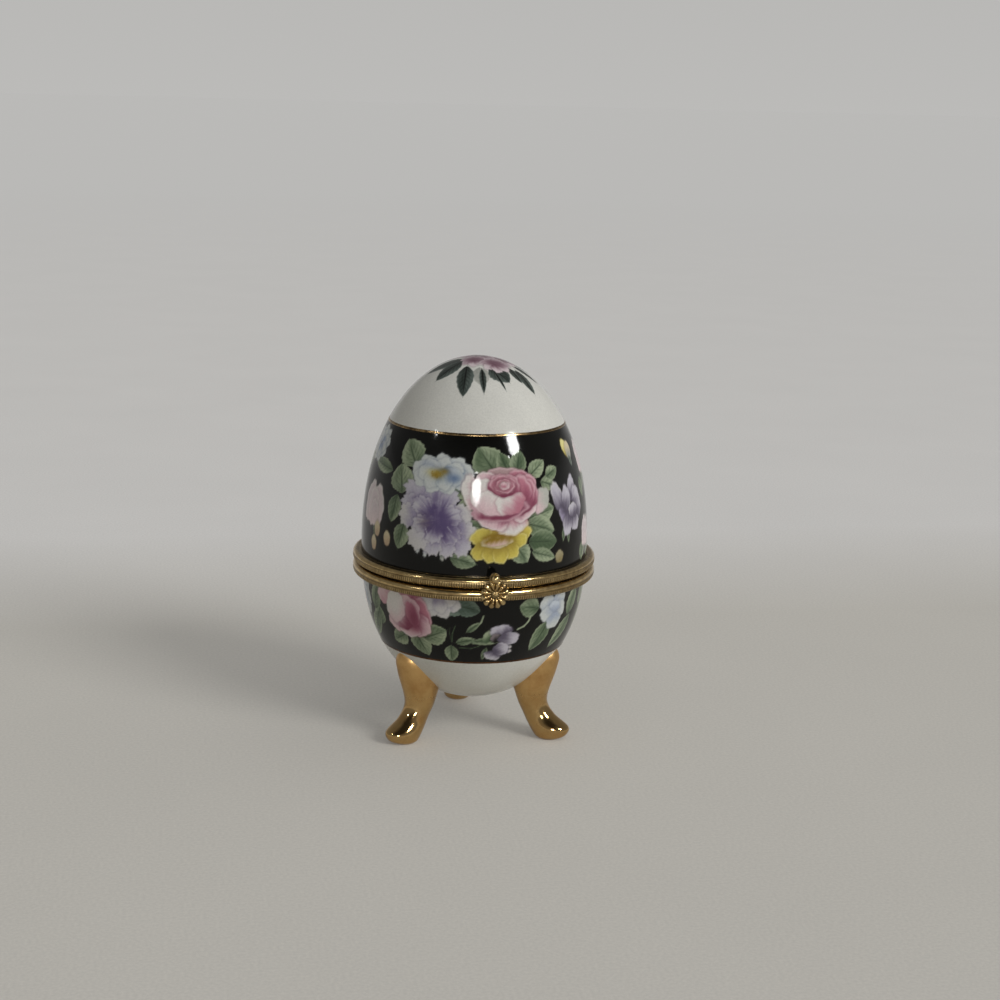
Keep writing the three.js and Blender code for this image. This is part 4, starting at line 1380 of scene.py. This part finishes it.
def holed_plate(outline, holes, back, front, bevel):
    """A flat plate facing the front, with softened edges and holes right through it.

    The outline runs against the clock as seen from the front, and the holes run with it.
    """
    walls, backs, fronts = [], [], []
    first = 0
    for loop in map(np.array, (outline, *holes)):
        way = np.roll(loop, -1, 0) - np.roll(loop, 1, 0)
        inward = np.stack([-way[:, 1], way[:, 0]], 1) / np.linalg.norm(way, axis=1)[:, None]
        rings = []
        for distance, inset in ((back, bevel), (back + bevel, 0), (front - bevel, 0), (front, bevel)):
            x, level = (loop + inset * inward).T
            rings.append(np.stack([x, 0 * x - distance, level], 1))
        walls.append(skin(rings))
        count = len(loop)
        backs.append(range(first, first + count))
        fronts.append(range(first + 3 * count, first + 4 * count))
        first += 4 * count
    places, faces = joined(*walls)
    for loops, facing in ((backs, 1), (fronts, -1)):
        corners = [corner for loop in loops for corner in loop]
        flat = [[Vector((*places[corner, [0, 2]], 0)) for corner in loop] for loop in loops]
        for triangle in tessellate_polygon(flat):
            a, b, c = (places[corners[k], [0, 2]] for k in triangle)
            area = (b - a)[0] * (c - a)[1] - (b - a)[1] * (c - a)[0]
            order = triangle if area * facing < 0 else triangle[::-1]
            faces.append([corners[k] for k in order])
    return places, faces


def clasp_strip():
    """The sprung strip: round at both ends, with holes for the rivet and the stud."""
    top = [aimed((0, BEAD_LEVEL), degrees, TAB_TOP_RADIUS) for degrees in range(0, 181, 12)]
    foot = [aimed((0, STUD_LEVEL), degrees, TAB_FOOT_RADIUS) for degrees in range(180, 361, 12)]
    holes = []
    for level, radius in ((RIVET_LEVEL, RIVET_HOLE), (STUD_LEVEL, STUD_HOLE)):
        holes.append([aimed((0, level), -degrees, radius) for degrees in range(0, 360, 15)])
    plate = holed_plate(top + foot, holes, TAB_BACK, TAB_FRONT, TAB_BEVEL)
    brass_piece("clasp_strip", plate, "clasp", "clasp_tab", 0.45)


def clasp_ball():
    """A ball cut flat where it sits on the strip."""
    angle = np.linspace(math.pi / 5, math.pi, 16)
    centre = FLOWER_SEAT + BEAD_RADIUS * math.cos(angle[0])
    side = zip(BEAD_RADIUS * np.sin(angle[:-1]), centre - BEAD_RADIUS * np.cos(angle[:-1]))
    ball = [(0, FLOWER_SEAT), *side, (0, centre + BEAD_RADIUS)]
    brass_piece("clasp_ball", frontward(ball, BEAD_LEVEL), "clasp", "clasp_bead", 0.1)


def clasp_pin():
    end = -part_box("clasp_rivet")[0].y / MM
    start = -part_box("clasp_rivet")[1].y / MM
    shank = [(0, start), (RIVET_RADIUS, start), (RIVET_RADIUS, end - RIVET_EDGE)]
    rivet = [*shank, (RIVET_RADIUS - RIVET_EDGE, end), (0, end)]
    brass_piece("clasp_pin", frontward(rivet, RIVET_LEVEL), "lid", "clasp_rivet", 0.4)


def clasp_catch():
    """The stud: a thin neck in the ring and a domed head that the strip snaps over."""
    start = -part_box("clasp_stud")[1].y / MM
    tip = -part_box("clasp_stud")[0].y / MM
    face = RING_RADIUS + STUD_GAP
    dome = face + STUD_RIM
    neck = [(0, start), (STUD_NECK, start), (STUD_NECK, face)]
    stud = [*neck, (STUD_RADIUS - STUD_EDGE[0], face), (STUD_RADIUS, face + STUD_EDGE[1])]
    for angle in np.linspace(0, 1.4, 8):
        stud.append((STUD_RADIUS * math.cos(angle), dome + (tip - dome) * math.sin(angle)))
    brass_piece("clasp_catch", frontward([*stud, (0, tip)], STUD_LEVEL), "base", "clasp_stud", 0.15)


# Legs
def spline(points, shares):
    """A centripetal curve through points, at shares of its length in sections."""
    points = np.array(points, float)
    points = np.vstack([2 * points[0] - points[1], points, 2 * points[-1] - points[-2]])
    steps = np.sqrt(np.linalg.norm(np.diff(points, axis=0), axis=1))
    at = shares * (len(points) - 3)
    k = np.minimum(at.astype(int), len(points) - 4)
    w = (at - k)[:, None]
    p0, p1, p2, p3 = (points[k + n] for n in range(4))
    s0, s1, s2 = (steps[k + n][:, None] for n in range(3))
    start = s1 * ((p1 - p0) / s0 - (p2 - p0) / (s0 + s1) + (p2 - p1) / s1)
    end = s1 * ((p2 - p1) / s1 - (p3 - p1) / (s1 + s2) + (p3 - p2) / s2)
    bend = 3 * (p2 - p1) - 2 * start - end
    return p1 + start * w + bend * w**2 + (2 * (p1 - p2) + start + end) * w**3


def leg_sections():
    """Height, inner edge, outer edge and width of the leg's sections, from sole to bowl."""
    bowl = float(egg_radius(np.array(LEG_TOP_LEVEL)))
    return [
        (0.0, bowl - 4.9, bowl + 1.2, 5.9),
        (1.1, bowl - 5.8, bowl + 2.7, 6.9),
        (2.7, bowl - 6.9, bowl + 3.2, 7.2),
        (5.6, bowl - 8.5, bowl - 0.6, 6.2),
        (8.8, bowl - 10.0, bowl - 2.7, 7.0),
        (PARTING - 24.8, bowl - 12.6, bowl - 0.55, 9.6),
        (PARTING - 21.6, bowl - 13.2, bowl, 9.4),
        (PARTING + LEG_TOP_LEVEL, bowl - 13.6, bowl - 1.0, 5.4),
    ]


def buried(radius, level):
    """Places inside the bowl pulled out until they lie just under the porcelain's skin."""
    line = np.stack(moved_out(*egg_line(-2, UNDERSIDE + 0.02, 500)[:2], -LEG_BURIED), 1)
    places = np.stack([radius, level], 1)
    gaps = np.linalg.norm(places[:, None] - line[None], axis=2)
    nearest = line[gaps.argmin(1)]
    deep = (radius < egg_radius(level)) & (np.hypot(*nearest.T) > np.hypot(radius, level))
    use = deep & (level > UNDERSIDE)
    return np.where(use, nearest[:, 0], radius), np.where(use, nearest[:, 1], level)


def add_leg(name, node, turn):
    heights, inner, outer, width = zip(*leg_sections())
    shares = np.linspace(0, 1, LEG_RINGS)
    edges = spline(list(zip(inner, outer, heights)), shares)
    widths = spline(list(zip(width, [0] * len(width), heights)), shares)
    angle = np.arange(LEG_SIDES) * FULL / LEG_SIDES
    ray = math.radians(turn)
    outward = np.array([math.sin(ray), -math.cos(ray)])
    sideways = np.array([math.cos(ray), math.sin(ray)])
    rings = []
    for (edge_in, edge_out, height), (wide, _, _) in zip(edges, widths):
        scale = 1 - SOLE_ROUNDING * (1 - ease(0, SOLE_RISE, height))
        far = (edge_in + edge_out) / 2 + scale * (edge_out - edge_in) / 2 * np.cos(angle)
        aside = scale * wide / 2 * np.sin(angle)
        reach = np.hypot(far, aside)
        kept, level = buried(reach, np.full(LEG_SIDES, height - PARTING))
        ratio = kept / reach
        flat = (far * ratio)[:, None] * outward + (aside * ratio)[:, None] * sideways
        rings.append(np.column_stack([flat, level]))
    piece(name, *capped(rings), GILDING, "base", node, "gilding", crease=0)


# Stage
MIDDLE = Vector((0, 0, PARTING * MM))


def toward(turn, height):
    """The direction to a turn round the egg and an angle above the floor."""
    a, e = math.radians(turn), math.radians(height)
    return Vector((math.sin(a) * math.cos(e), -math.cos(a) * math.cos(e), math.sin(e)))


def lamp(name, kind, turn, height, power, **settings):
    """A lamp that faces the egg."""
    data = bpy.data.lights.new(name, kind)
    data.energy = power
    for key, value in settings.items():
        setattr(data, key, value)
    made = linked(name, data)
    out = toward(turn, height)
    made.location = MIDDLE + out * PANEL_DISTANCE
    made.rotation_euler = (-out).to_track_quat("-Z", "Y").to_euler()
    return made


def add_lamps():
    """Soft suns that the gloss doesn't show, and panels that show in the gloss only."""
    for name, turn, height, strength, spread in SUNS:
        lamp(name, "SUN", turn, height, strength, angle=math.radians(spread)).visible_glossy = False
    for name, turn, height, power, shape, width, length in PANELS:
        made = lamp(name, "AREA", turn, height, power, shape=shape, size=width, size_y=length)
        made.visible_diffuse = False


def add_camera():
    data = bpy.data.cameras.new("camera")
    data.sensor_width = SENSOR
    data.lens = SENSOR * PIXELS_PER_MM * VIEW_DISTANCE / IMAGE
    data.shift_x = 0.5 - AXIS_PIXEL[0] / IMAGE
    data.shift_y = AXIS_PIXEL[1] / IMAGE - 0.5
    made = linked("camera", data)
    out = toward(VIEW_TURN, VIEW_HEIGHT)
    made.location = MIDDLE + out * VIEW_DISTANCE * MM
    made.rotation_mode = "QUATERNION"
    facing = (-out).to_track_quat("-Z", "Y")
    made.rotation_quaternion = facing @ Matrix.Rotation(math.radians(VIEW_ROLL), 3, "Z").to_quaternion()
    bpy.context.scene.camera = made


def add_floor():
    mesh = bpy.data.meshes.new("floor")
    h = FLOOR_HALF
    mesh.from_pydata([(-h, -h, 0), (h, -h, 0), (h, h, 0), (-h, h, 0)], [], [[0, 1, 2, 3]])
    mesh.materials.append(floor_material())
    made = linked("floor", mesh)


def add_world():
    """A pale backdrop at the horizon, a dim room above it and a dark ceiling over the camera."""
    look = Look(bpy.data.worlds.new("world"), "Background")
    bpy.context.scene.world = look.owner
    way = look.node("TexCoord", {}).outputs["Generated"]
    ramp = look.node("ValToRGB", {"Fac": look.axis(way, "Z")})
    stops = ramp.color_ramp.elements
    for k, (height, light) in enumerate(ROOM):
        stop = stops[k] if k < len(stops) else stops.new(height)
        stop.position = height
        stop.color = (light * PALE[0], light * PALE[1], light * PALE[2], 1)
    ceiling = toward(VIEW_TURN, CEILING_HEIGHT)
    facing = look.node("VectorMath", {0: way, 1: ceiling}, operation="DOT_PRODUCT").outputs["Value"]
    shade = look.ranged(facing, *CEILING_EDGE, 1, CEILING_LIGHT)
    look.finish({"Color": look.times(ramp.outputs["Color"], shade)})


shell("lid_porcelain", painted_lid(), "lid_shell", "lid")
shell("base_porcelain", painted_base(), "base_shell", "base")
painted_line("lid_gold_line", LID_LINE, LID_LINE_WIDTH, GOLD_LINE, "lid")
painted_line("base_gold_line", BASE_LINE, BASE_LINE_WIDTH, BROWN_LINE, "base")
add_bezels()
add_hinge()
clasp_flower()
clasp_strip()
clasp_ball()
clasp_pin()
clasp_catch()
for leg, turn in (("right", FRONT_LEG_TURN), ("left", -FRONT_LEG_TURN), ("rear", 180)):
    add_leg(f"{leg}_leg", f"leg_{leg}", turn)
for node in ("lid_cement", "base_cement"):
    frame["nodes"][node].data.materials.clear()
    frame["nodes"][node].data.materials.append(CEMENT)
add_camera()
add_floor()
add_world()
add_lamps()
bpy.context.scene.view_settings.view_transform = "Standard"
